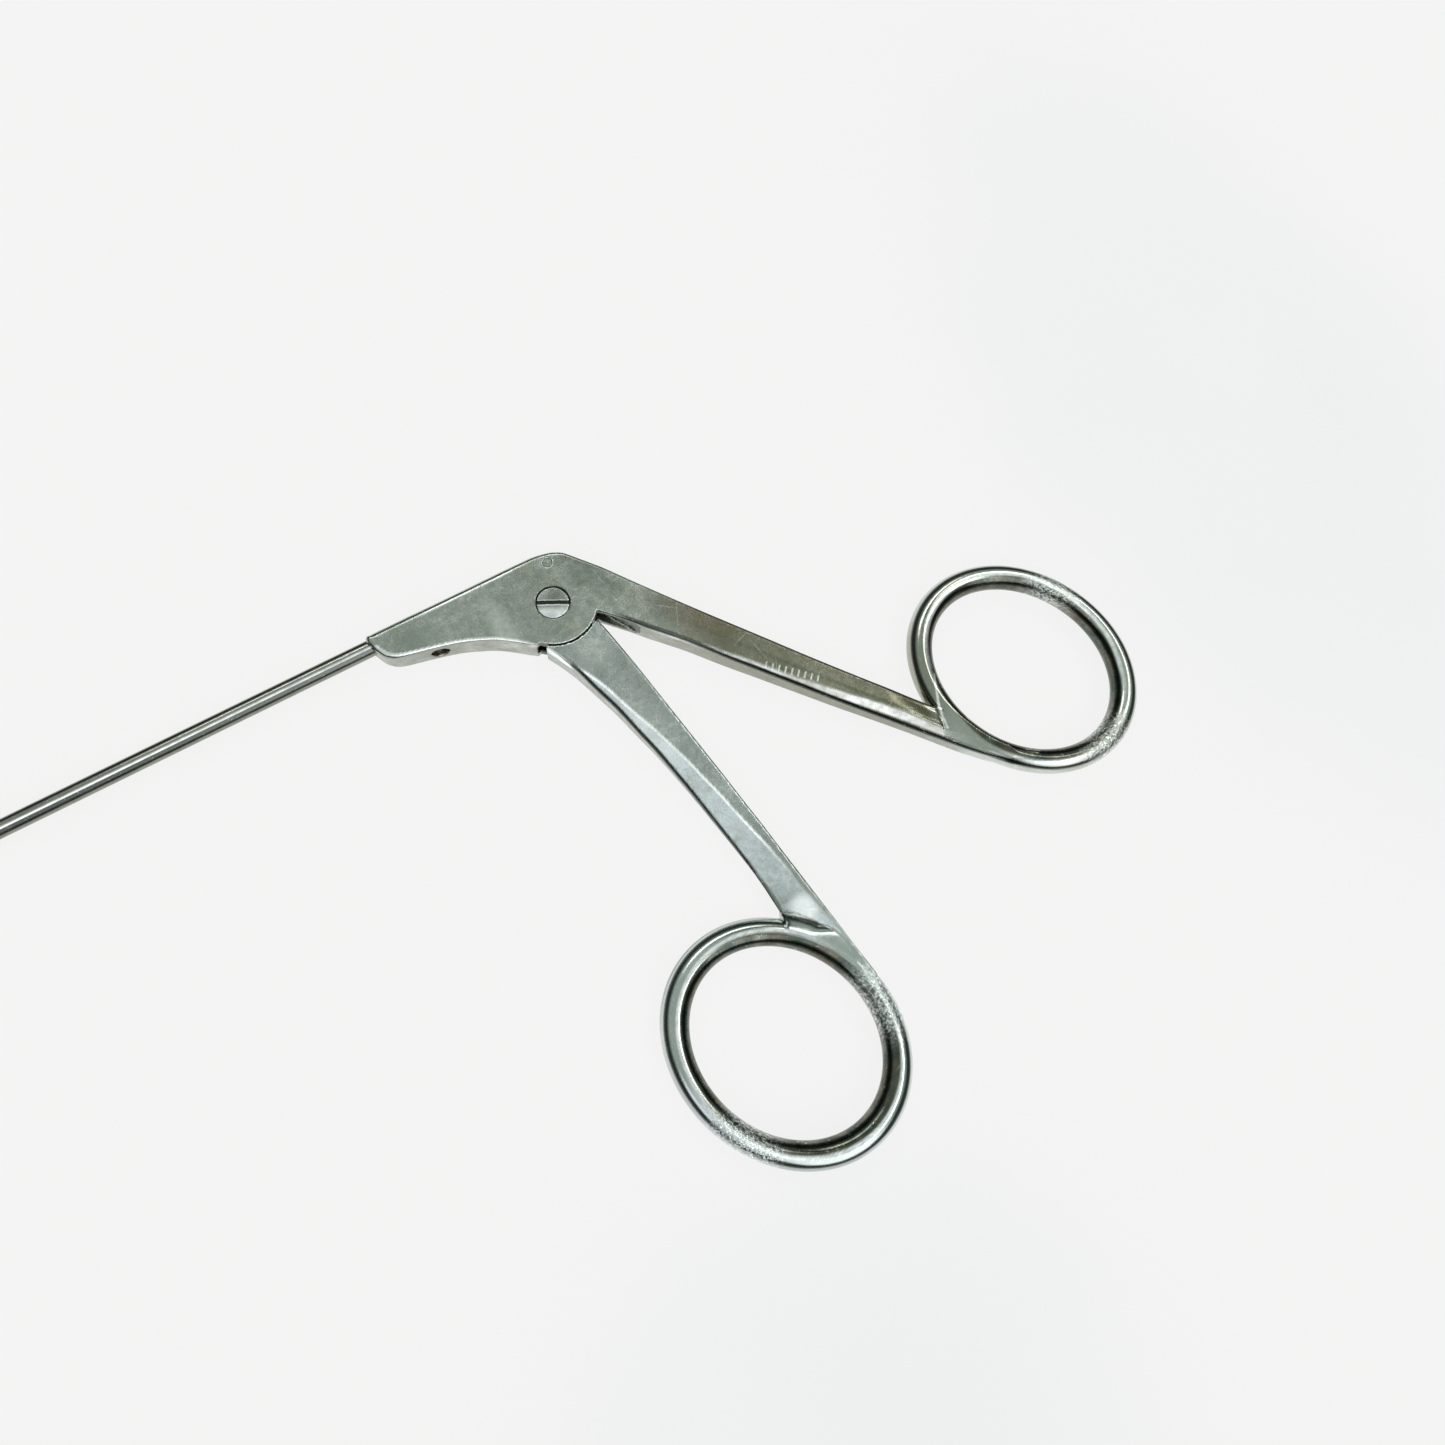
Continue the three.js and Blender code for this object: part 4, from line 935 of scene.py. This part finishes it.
# ------------------------------------------------------------------ finishes
def steel(name, light, dark, rough, grain=1.0, scratch=1.0, lay_deg=0.0, stain=0.0, marks=(), worn=(), wear=0.3, blotch=0.35, rings=False, ticks=None,
          lines_drawn=False):
    """Used instrument steel, with painted shade and painted highlights from the "dark" and "light" attributes when
    `lines_drawn` is set. `marks` are (centre, inner, outer, squeeze, deg, colour, strength) tints: stains, and some
    painted shade and painted highlights,
    `worn` are (centre, inner, outer, squeeze, deg) spots polished bright and pitted, with painted glints."""
    m = bpy.data.materials.new(name)
    m.use_nodes = True
    t = m.node_tree
    t.nodes.clear()
    nd = Nodes(t)
    out = nd.new("ShaderNodeOutputMaterial")
    bs = nd.new("ShaderNodeBsdfPrincipled")
    t.links.new(bs.outputs[0], out.inputs[0])
    pos = nd.vmath("SCALE", nd.new("ShaderNodeTexCoord").outputs["Object"], scale=1000.0)
    geo = nd.new("ShaderNodeNewGeometry")

    cloud = nd.noise(pos, 0.16, 3, 0.55)
    mottle = nd.noise(pos, 1.1, 4, 0.6)
    fine = nd.noise(pos, 3.4, 4, 0.65)
    speck = nd.noise(pos, 13.0, 2, 0.5)
    shade = add_all(nd, [nd.math("MULTIPLY", nd.math("SUBTRACT", cloud, 0.5), 1.2), nd.math("MULTIPLY", nd.math("SUBTRACT", mottle, 0.5), 1.0),
                         nd.math("MULTIPLY", nd.math("SUBTRACT", fine, 0.5), 1.9), nd.math("MULTIPLY", nd.math("SUBTRACT", speck, 0.5), 0.8)])
    shade = nd.math("MULTIPLY_ADD", shade, blotch * 2, 0.5, clamp=True)
    colour = nd.mix(shade, dark, light)

    # olive and brown films left by handling
    film = nd.remap(nd.noise(pos, 0.33, 4, 0.62, 0.6), 0.50, 0.72, 0.0, stain, True)
    colour = nd.mix(film, colour, (0.36, 0.35, 0.25))
    film2 = nd.remap(nd.noise(nd.vmath("ADD", pos, (31.0, 7.0, 3.0)), 0.7, 4, 0.6, 0.4), 0.56, 0.74, 0.0, stain * 0.7, True)
    colour = nd.mix(film2, colour, (0.42, 0.33, 0.27))

    # fine directional polishing lines, and a few longer stray scratches
    lines = nd.noise(nd.turned(pos, lay_deg, (0.35, 14.0, 14.0)), 1.0, 3, 0.6)
    stray = []
    for i, deg in enumerate((17.0, 64.0, -38.0, 101.0)):
        s = nd.noise(nd.vmath("ADD", nd.turned(pos, deg, (0.16, 5.5, 5.5)), (9.0 * i, 3.0 * i, 0.0)), 1.0, 1, 0.4)
        stray.append(nd.remap(s, 0.70, 0.80, 0.0, 1.0))
    stray = nd.math("MINIMUM", add_all(nd, stray), 1.0)
    pits = nd.remap(nd.voronoi(nd.vmath("ADD", pos, nd.vmath("SCALE", nd.noise(pos, 2.0), scale=0.6)), 1.6), 0.05, 0.13, 1.0, 0.0, True)
    pits = nd.math("MULTIPLY", pits, nd.remap(mottle, 0.58, 0.72, 0.0, 0.6))
    ring = inner = None
    if rings:
        ring = nd.new("ShaderNodeAttribute", attribute_name="ring").outputs["Fac"]
        inner = nd.new("ShaderNodeAttribute", attribute_name="inner").outputs["Fac"]

    edge = nd.remap(geo.outputs["Pointiness"], 0.54, 0.62, 0.0, 1.0, True)
    crease = nd.remap(geo.outputs["Pointiness"], 0.46, 0.38, 0.0, 1.0, True)
    edge = nd.math("MULTIPLY", edge, nd.remap(fine, 0.35, 0.6, 0.35, 1.0))

    for c, a, b, sq, deg, tint, k in marks:
        mask = nd.math("MULTIPLY", nd.blob(pos, c, a, b, sq, deg), nd.math("MULTIPLY", nd.remap(mottle, 0.3, 0.65, 0.7, 1.0), k))
        colour = nd.mix(mask, colour, tint)
    if rings:
        # patina on the rings' inner flanks; for the tube the inner attribute carries painted shade zones instead
        patina = nd.mix(nd.remap(nd.noise(pos, 0.22, 3, 0.6), 0.4, 0.6), (0.045, 0.07, 0.06), (0.105, 0.085, 0.06))
        patina = nd.mix(nd.remap(nd.noise(pos, 0.5, 4, 0.6), 0.42, 0.7), patina, (0.18, 0.185, 0.145))
        colour = nd.mix(nd.math("MULTIPLY", ring, 0.35), colour, [v * 1.12 for v in light])
        colour = nd.mix(nd.math("MULTIPLY", inner, 0.96), colour, patina)
    if ticks is not None:
        (tx, ty), deg, count, pitch, tall = ticks
        loc = nd.turned(nd.vmath("SUBTRACT", pos, (tx, ty, 0.0)), deg, (1, 1, 1))
        sp = nd.new("ShaderNodeSeparateXYZ")
        nd.put(sp.inputs[0], loc)
        fr = nd.math("ABSOLUTE", nd.math("SUBTRACT", nd.math("FRACT", nd.math("DIVIDE", sp.outputs[0], pitch)), 0.5))
        stroke = nd.remap(fr, 0.10, 0.17, 1.0, 0.0, True)
        stroke = nd.math("MULTIPLY", stroke, nd.remap(nd.math("ABSOLUTE", sp.outputs[1]), tall / 2 - 0.08, tall / 2, 1.0, 0.0, True))
        stroke = nd.math("MULTIPLY", stroke, nd.math("GREATER_THAN", sp.outputs[0], 0.0))
        stroke = nd.math("MULTIPLY", stroke, nd.math("LESS_THAN", sp.outputs[0], count * pitch))
        stroke = nd.math("MULTIPLY", stroke, nd.math("GREATER_THAN", sp.outputs[2], HALF))
    if ticks is not None:
        colour = nd.mix(nd.math("MULTIPLY", stroke, 0.85), colour, (0.92, 0.94, 0.9))
    worn_mask = None
    for c, a, b, sq, deg in worn:
        w = nd.blob(pos, c, a, b, sq, deg)
        worn_mask = w if worn_mask is None else nd.math("MAXIMUM", worn_mask, w)
    colour = nd.mix(nd.math("MULTIPLY", edge, wear), colour, [min(1, v * 1.35 + 0.1) for v in light])
    # darker in creases: grime and painted shade
    colour = nd.mix(nd.math("MULTIPLY", crease, 0.75), colour, (0.09, 0.1, 0.075))
    colour = nd.mix(nd.math("MULTIPLY", pits, 0.5), colour, [v * 0.5 for v in dark])
    glint = None
    if lines_drawn:
        # the "dark" attribute is painted shade and the "light" attribute painted highlights
        painted_shade = nd.new("ShaderNodeAttribute", attribute_name="dark").outputs["Fac"]
        glint = nd.new("ShaderNodeAttribute", attribute_name="light").outputs["Fac"]
        glint = nd.math("MULTIPLY", glint, nd.remap(nd.noise(pos, 0.9, 3, 0.6), 0.35, 0.6, 0.55, 1.0))
        nz = nd.new("ShaderNodeSeparateXYZ")
        nd.put(nz.inputs[0], geo.outputs["Normal"])
        wall = nd.remap(nd.math("ABSOLUTE", nz.outputs[2]), 0.25, 0.6, 1.0, 0.0, True)
        wall = nd.math("MULTIPLY", wall, nd.remap(nd.noise(pos, 0.5, 4, 0.65), 0.35, 0.65, 0.3, 0.9))
        if rings:
            wall = nd.math("MULTIPLY", wall, nd.math("SUBTRACT", 1.0, ring))
        colour = nd.mix(wall, colour, (0.30, 0.315, 0.26))
        # painted shade, then painted highlights, from the attributes
        colour = nd.mix(nd.math("MULTIPLY", painted_shade, 0.94), colour, (0.035, 0.045, 0.035))
        colour = nd.mix(glint, colour, (0.93, 0.95, 0.95))
    colour = nd.mix(nd.math("MULTIPLY", stray, 0.32 * scratch), colour, [min(1, v * 1.3) for v in light])

    rg = nd.math("MULTIPLY_ADD", nd.math("SUBTRACT", mottle, 0.5), 0.28, rough)
    rg = nd.math("ADD", rg, nd.math("MULTIPLY", nd.math("SUBTRACT", cloud, 0.5), 0.2))
    rg = nd.math("SUBTRACT", rg, nd.math("MULTIPLY", edge, 0.1 * wear))
    rg = nd.math("ADD", rg, nd.math("MULTIPLY", film, 0.15))
    if rings:
        rg = nd.math("MULTIPLY", rg, nd.remap(ring, 0.0, 1.0, 1.0, 0.5))
        grain = nd.remap(ring, 0.0, 1.0, grain, grain * 0.55)
    height = add_all(nd, [nd.math("MULTIPLY", lines, 0.4 * scratch), nd.math("MULTIPLY", stray, -0.14 * scratch),
                          nd.math("MULTIPLY", grain, add_all(nd, [nd.math("MULTIPLY", fine, 0.5), nd.math("MULTIPLY", speck, 0.3), nd.math("MULTIPLY", pits, -0.8),
                                                                  nd.math("MULTIPLY", mottle, 0.6), nd.math("MULTIPLY", cloud, 2.5)]))])
    if ticks is not None:
        height = nd.math("ADD", height, nd.math("MULTIPLY", stroke, 2.0))
    if worn_mask is not None:
        rough_spots = nd.noise(nd.turned(pos, lay_deg, (1.0, 1.0, 1.0)), 2.6, 3, 0.65, 0.8)
        height = nd.math("ADD", height, nd.math("MULTIPLY", nd.math("MULTIPLY", rough_spots, 9.0), worn_mask))
        colour = nd.mix(nd.math("MULTIPLY", worn_mask, nd.remap(rough_spots, 0.40, 0.62, 0.0, 0.9)), colour, [min(1, v * 1.3) for v in light])
        # painted glints on the worn spots
        sparkle = nd.math("MULTIPLY", nd.math("MULTIPLY", worn_mask, nd.remap(rough_spots, 0.57, 0.64, 0.0, 1.0)), nd.math("SUBTRACT", 1.0, inner) if rings else 1.0)
        glint = nd.math("MAXIMUM", glint, nd.math("MULTIPLY", sparkle, 0.8)) if glint is not None else None
        rg = nd.math("SUBTRACT", rg, nd.math("MULTIPLY", worn_mask, 0.06))
    bump = nd.new("ShaderNodeBump")
    nd.put(bump.inputs["Height"], height)
    bump.inputs["Strength"].default_value = 0.5
    bump.inputs["Distance"].default_value = 0.00003
    t.links.new(bump.outputs[0], bs.inputs["Normal"])
    nd.put(bs.inputs["Base Color"], colour)
    nd.put(bs.inputs["Roughness"], nd.math("MAXIMUM", rg, 0.06))
    bs.inputs["Metallic"].default_value = 1.0
    # the painted highlights glow a little
    if glint is not None:
        nd.put(bs.inputs["Emission Color"], (0.95, 0.97, 1.0))
        nd.put(bs.inputs["Emission Strength"], nd.math("MULTIPLY", glint, 0.42))
    return m


LIGHT, DARK = (0.70, 0.73, 0.69), (0.42, 0.46, 0.42)
OLIVE, BROWN, PALE = (0.20, 0.19, 0.12), (0.24, 0.15, 0.10), (0.86, 0.90, 0.86)

handle = build_handle()
lever = build_lever()
small = build_small()
tube = build_tube()
jaws = build_jaws()
pins = [turned_pin("drive_pin_steel", "lever_drive_pin", "lever"), turned_pin("jaw_pivot_pin_steel", "jaw_pivot_pin", "fixed_body"),
        turned_pin("jaw_drive_pin_steel", "jaw_drive_pin", "rod")]

handle_mat = steel(
    "handle_satin_steel", LIGHT, DARK, 0.23, grain=0.75, stain=0.5, lay_deg=20, lines_drawn=True, blotch=0.45,
    rings=True, ticks=((21.7, -22.3), -43.5, 9, 0.96, 1.15),
    # painted shade: the dark olive reflection over the upper half of the shank
    marks=[((29.0, -25.0, 4.8), 9, 18, (0.62, 1.5, 1), -52, OLIVE, 0.92),
           ((26.5, -19.0, 4.8), 2, 8, (0.34, 2.2, 1), -52, (0.13, 0.125, 0.08), 0.8),
           ((35.5, -31.5, 4.8), 1.5, 6, (0.5, 1.8, 1), -52, (0.12, 0.115, 0.075), 0.85),
           ((1.0, 6.2, 5.0), 1.0, 5.5, (1.5, 0.7, 1), -20, (0.34, 0.38, 0.34), 0.5),
           ((2.6, -4.0, 5.0), 0.6, 2.4, (1, 1, 1), 0, PALE, 0.3),
           ((16.5, -10.5, 4.8), 1.5, 6, (0.6, 1.6, 1), -52, BROWN, 0.35),
           ((36.5, -36.0, 4.6), 2, 6, (1, 1, 1), 0, OLIVE, 0.5),
           ((-17.0, 2.2, 2.4), 1.2, 2.3, (1, 1, 1), 0, BROWN, 0.75),
           ((6.9, -6.6, 2.5), 1.0, 2.6, (1, 1, 1), 0, BROWN, 0.6),
           ((7.2, -0.6, 5.0), 0.6, 3.6, (0.6, 2.0, 1), -74, PALE, 0.10),
           ((0.6, 4.6, 5.0), 0.3, 2.2, (0.6, 2.2, 1), -74, PALE, 0.12),
           ((1.6, 5.7, 4.9), 0.5, 1.5, (0.8, 1.3, 1), -27, PALE, 0.4),
           ((-8.0, -0.6, 5.0), 1.0, 4.6, (2.0, 0.62, 1), 0, PALE, 0.85),
           ((-20.5, 2.6, 5.0), 2.0, 9.0, (1.3, 0.8, 1), 12, (0.33, 0.385, 0.345), 0.55),
           ((6.6, 1.2, 5.0), 1.0, 5.0, (0.8, 1.4, 1), -60, (0.36, 0.41, 0.37), 0.5),
           ((39.6, -39.6, 3.6), 0.8, 2.8, (1, 1, 1), 0, OLIVE, 0.8),
           # painted shade: dark olive on the rear ring's left outer flank
           ((41.3, -32.5, 3.2), 3, 7.5, (0.7, 1.3, 1), 80, OLIVE, 0.8),
           ((58.0, -57.5, 3.0), 3, 9, (1, 1, 1), 0, OLIVE, 0.5),
           ((63.0, -56.0, 3.5), 1, 7, (1, 1, 1), 0, (0.20, 0.18, 0.15), 0.4)],
    worn=[((60.5, -56.5, 3.5), 1.5, 6.5, (1, 1, 1), 0), ((66.5, -33.0, 4.5), 1.0, 6.0, (1, 1, 1), 0)])
lever_mat = steel(
    "lever_satin_steel", (0.72, 0.77, 0.76), (0.44, 0.49, 0.48), 0.24, grain=0.8, stain=0.3, lay_deg=-72, rings=True, lines_drawn=True, blotch=0.45,
    marks=[((5.2, -15.0, 4.9), 1.5, 5, (0.6, 1.6, 1), -82, (0.36, 0.40, 0.38), 0.45),
           ((1.2, -9.0, 5.0), 1.0, 4.0, (1, 1, 1), 0, PALE, 0.6),
           ((8.3, -49.0, 3.6), 2.0, 7, (0.6, 1.6, 1), -82, (0.38, 0.41, 0.39), 0.6),
           # painted highlight: the lever face bright just before the crease
           ((8.9, -54.9, 3.6), 0.9, 2.8, (1, 1, 1), 0, (0.97, 0.99, 0.98), 1.0),
           ((3.0, -24.0, 3.6), 1.0, 5.5, (0.6, 1.6, 1), -76, PALE, 0.5),
           # painted shade: dark reflections on the front ring's outer flank, at its bottom and left
           ((-8.0, -85.0, 3.0), 4, 12, (1, 1, 1), 0, (0.20, 0.23, 0.18), 0.7),
           ((-17.0, -70.0, 3.0), 3, 10, (1, 1, 1), 0, (0.24, 0.24, 0.27), 0.6),
           ((2.0, -54.5, 3.0), 2, 8, (1, 1, 1), 0, (0.22, 0.26, 0.22), 0.6)],
    worn=[((-14.5, -77.0, 4.0), 2.5, 7.0, (1, 1, 1), 0), ((12.0, -70.5, 4.2), 2.0, 7.5, (1, 1, 1), 0)])
screw_mat = steel("screw_steel_finish", (0.70, 0.74, 0.70), (0.42, 0.46, 0.42), 0.22, stain=0.3, lay_deg=40, grain=0.7, wear=0.3, lines_drawn=True)
tube_mat = steel("tube_polished_steel", (0.74, 0.74, 0.71), (0.52, 0.51, 0.47), 0.16, stain=0.35, lay_deg=0, grain=0.35, scratch=0.7, blotch=0.25,
                 rings=True, lines_drawn=True)
jaw_mat = steel("jaw_steel_finish", (0.72, 0.74, 0.71), (0.46, 0.48, 0.45), 0.26, stain=0.3, lay_deg=0, grain=0.8)
pin_mat = steel("pin_steel_finish", (0.68, 0.69, 0.66), (0.42, 0.43, 0.40), 0.24, stain=0.3, lay_deg=90, grain=0.6)


def dress(ob, mat):
    ob.data.materials.clear()
    ob.data.materials.append(mat)


dress(handle, handle_mat)
dress(lever, lever_mat)
for ob in small:
    dress(ob, screw_mat)
dress(tube, tube_mat)
for ob in jaws:
    dress(ob, jaw_mat)
for ob in pins:
    dress(ob, pin_mat)
for node in ("drive_rod", "rod_end_eye", "rod_front_blade"):
    ob = frame["nodes"][node]
    dress(ob, pin_mat)
    bev = ob.modifiers.new("edges", "BEVEL")
    bev.width = 0.00004
    bev.segments = 2
    bev.limit_method = "ANGLE"
    bev.angle_limit = math.radians(40)


# ------------------------------------------------------------------ floor, light and camera
def build_floor():
    bm = bmesh.new()
    n, size = 8, 1.6
    grid = [[bm.verts.new(((i / n - 0.5) * size, (j / n - 0.5) * size, -0.00015)) for j in range(n + 1)] for i in range(n + 1)]
    for i in range(n):
        for j in range(n):
            bm.faces.new((grid[i][j], grid[i + 1][j], grid[i + 1][j + 1], grid[i][j + 1]))
    me = bpy.data.meshes.new("floor")
    bm.to_mesh(me)
    bm.free()
    ob = bpy.data.objects.new("floor", me)
    bpy.context.scene.collection.objects.link(ob)
    m = bpy.data.materials.new("floor_pale")
    m.use_nodes = True
    t = m.node_tree
    t.nodes.clear()
    nd = Nodes(t)
    out = nd.new("ShaderNodeOutputMaterial")
    pos = nd.vmath("SCALE", nd.new("ShaderNodeTexCoord").outputs["Object"], scale=1000.0)
    # painted shade: darker bluish patches on the pale sheet
    floor_painted_shade = nd.math("MULTIPLY", nd.blob(pos, (-20.0, -120.0, 0.0), 0, 60), 0.55)
    floor_painted_shade = nd.math("ADD", floor_painted_shade, nd.math("MULTIPLY", nd.blob(pos, (115.0, -20.0, 0.0), 10, 60, (1, 0.5, 1)), 0.35))
    floor_painted_shade = nd.math("MULTIPLY", floor_painted_shade, nd.remap(nd.noise(pos, 0.02, 2, 0.5), 0.3, 0.7, 0.6, 1.0))
    colour = nd.mix(floor_painted_shade, (0.895, 0.895, 0.89), (0.74, 0.80, 0.79))
    em = nd.new("ShaderNodeEmission")
    nd.put(em.inputs["Color"], colour)
    # mirror views along the sheet look past its far edge into the dim room
    geo = nd.new("ShaderNodeNewGeometry")
    facing = nd.math("ABSOLUTE", nd.vmath("DOT_PRODUCT", geo.outputs["Incoming"], geo.outputs["Normal"], out=1))
    direct = nd.new("ShaderNodeLightPath").outputs["Is Camera Ray"]
    nd.put(em.inputs["Strength"], nd.math("MAXIMUM", nd.remap(facing, 0.10, 0.42, 0.06, 0.95, True), nd.math("MULTIPLY", direct, 0.95)))
    df = nd.new("ShaderNodeBsdfDiffuse")
    nd.put(df.inputs["Color"], (0.08, 0.08, 0.08))
    add = nd.new("ShaderNodeAddShader")
    t.links.new(em.outputs[0], add.inputs[0])
    t.links.new(df.outputs[0], add.inputs[1])
    t.links.new(add.outputs[0], out.inputs[0])
    ob.data.materials.append(m)
    ob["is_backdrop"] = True


def build_world():
    w = bpy.data.worlds.new("studio")
    bpy.context.scene.world = w
    w.use_nodes = True
    t = w.node_tree
    t.nodes.clear()
    nd = Nodes(t)
    out = nd.new("ShaderNodeOutputWorld")
    bg = nd.new("ShaderNodeBackground")
    t.links.new(bg.outputs[0], out.inputs[0])
    d = nd.vmath("NORMALIZE", nd.new("ShaderNodeTexCoord").outputs["Generated"])
    sep = nd.new("ShaderNodeSeparateXYZ")
    nd.put(sep.inputs[0], d)
    z = sep.outputs[2]
    low = nd.remap(z, 0.36, 0.74, 0.0, 1.0, True)
    colour = nd.mix(low, (0.028, 0.036, 0.030), (0.395, 0.445, 0.408))

    def lobe(az, el, inner, outer, tint):
        nonlocal colour
        a, e = math.radians(az), math.radians(el)
        c = (math.cos(a) * math.cos(e), math.sin(a) * math.cos(e), math.sin(e))
        dot = nd.vmath("DOT_PRODUCT", d, c, out=1)
        mask = nd.remap(dot, math.cos(math.radians(outer)), math.cos(math.radians(inner)), 0.0, 1.0, True)
        colour = nd.mix(mask, colour, tint)

    lobe(-133, 60, 7, 22, (1.15, 1.17, 1.18))     # pale ceiling behind the camera
    lobe(193, 41, 7, 16, (1.12, 1.2, 1.23))
    lobe(-92, 36, 13, 28, (1.7, 1.75, 1.8))       # window low on the -Y side
    lobe(55, 55, 3, 16, (0.13, 0.14, 0.10))       # dark fitting overhead
    # long strip light over the hand side, running along Y
    zp = nd.math("MAXIMUM", z, 0.05)
    u = nd.math("DIVIDE", sep.outputs[0], zp)
    v = nd.math("DIVIDE", sep.outputs[1], zp)
    bend = nd.math("MULTIPLY", nd.math("POWER", nd.math("ADD", v, 0.05), 2.0), 0.83)
    strip = nd.math("MULTIPLY", nd.remap(nd.math("ABSOLUTE", nd.math("SUBTRACT", nd.math("ADD", u, bend), 0.66)), 0.06, 0.11, 1.0, 0.0, True),
                    nd.remap(nd.math("ABSOLUTE", nd.math("ADD", v, 0.18)), 0.50, 0.66, 1.0, 0.0, True))
    bar = nd.math("MULTIPLY", nd.remap(nd.math("ABSOLUTE", nd.math("SUBTRACT", v, 0.86)), 0.09, 0.17, 1.0, 0.0, True),
                  nd.remap(nd.math("ABSOLUTE", nd.math("SUBTRACT", u, 0.2)), 0.36, 0.5, 1.0, 0.0, True))
    strip = nd.math("MAXIMUM", strip, nd.math("MULTIPLY", bar, 0.8))
    strip = nd.math("MULTIPLY", strip, nd.math("GREATER_THAN", z, 0.1))
    colour = nd.mix(strip, colour, (4.0, 4.0, 3.9))
    colour = nd.mix(nd.new("ShaderNodeLightPath").outputs["Is Camera Ray"], colour, (0.86, 0.865, 0.86))
    nd.put(bg.inputs["Color"], colour)
    bg.inputs["Strength"].default_value = 1.0


def build_camera():
    cam = bpy.data.cameras.new("camera")
    cam.lens = 29.79
    cam.sensor_width = 36.0
    cam.sensor_height = 36.0
    cam.sensor_fit = "HORIZONTAL"
    cam.clip_start, cam.clip_end = 0.01, 10.0
    ob = bpy.data.objects.new("camera", cam)
    bpy.context.scene.collection.objects.link(ob)
    f = Vector((0.22166721, 0.19236952, -0.955959))
    r = Vector((0.85768764, -0.50488442, 0.09728121))
    u = Vector((0.46393487, 0.84147827, 0.27690928))
    m = Matrix((r, u, -f)).transposed().to_4x4()
    m.translation = Vector((-0.024925, -0.059237, 0.165))
    ob.matrix_world = m
    bpy.context.scene.camera = ob


build_floor()
build_world()
build_camera()
bpy.context.scene.view_settings.view_transform = "Standard"
bpy.context.scene.view_settings.look = "None"

({"cad": [[float(v) for v in p] for p in CAD_BOX] if hasattr(CAD_BOX[0], "__len__") else list(map(float, CAD_BOX)),
           "visual": [[float(v) for v in p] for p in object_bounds()] if hasattr(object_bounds()[0], "__len__") else list(map(float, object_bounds()))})
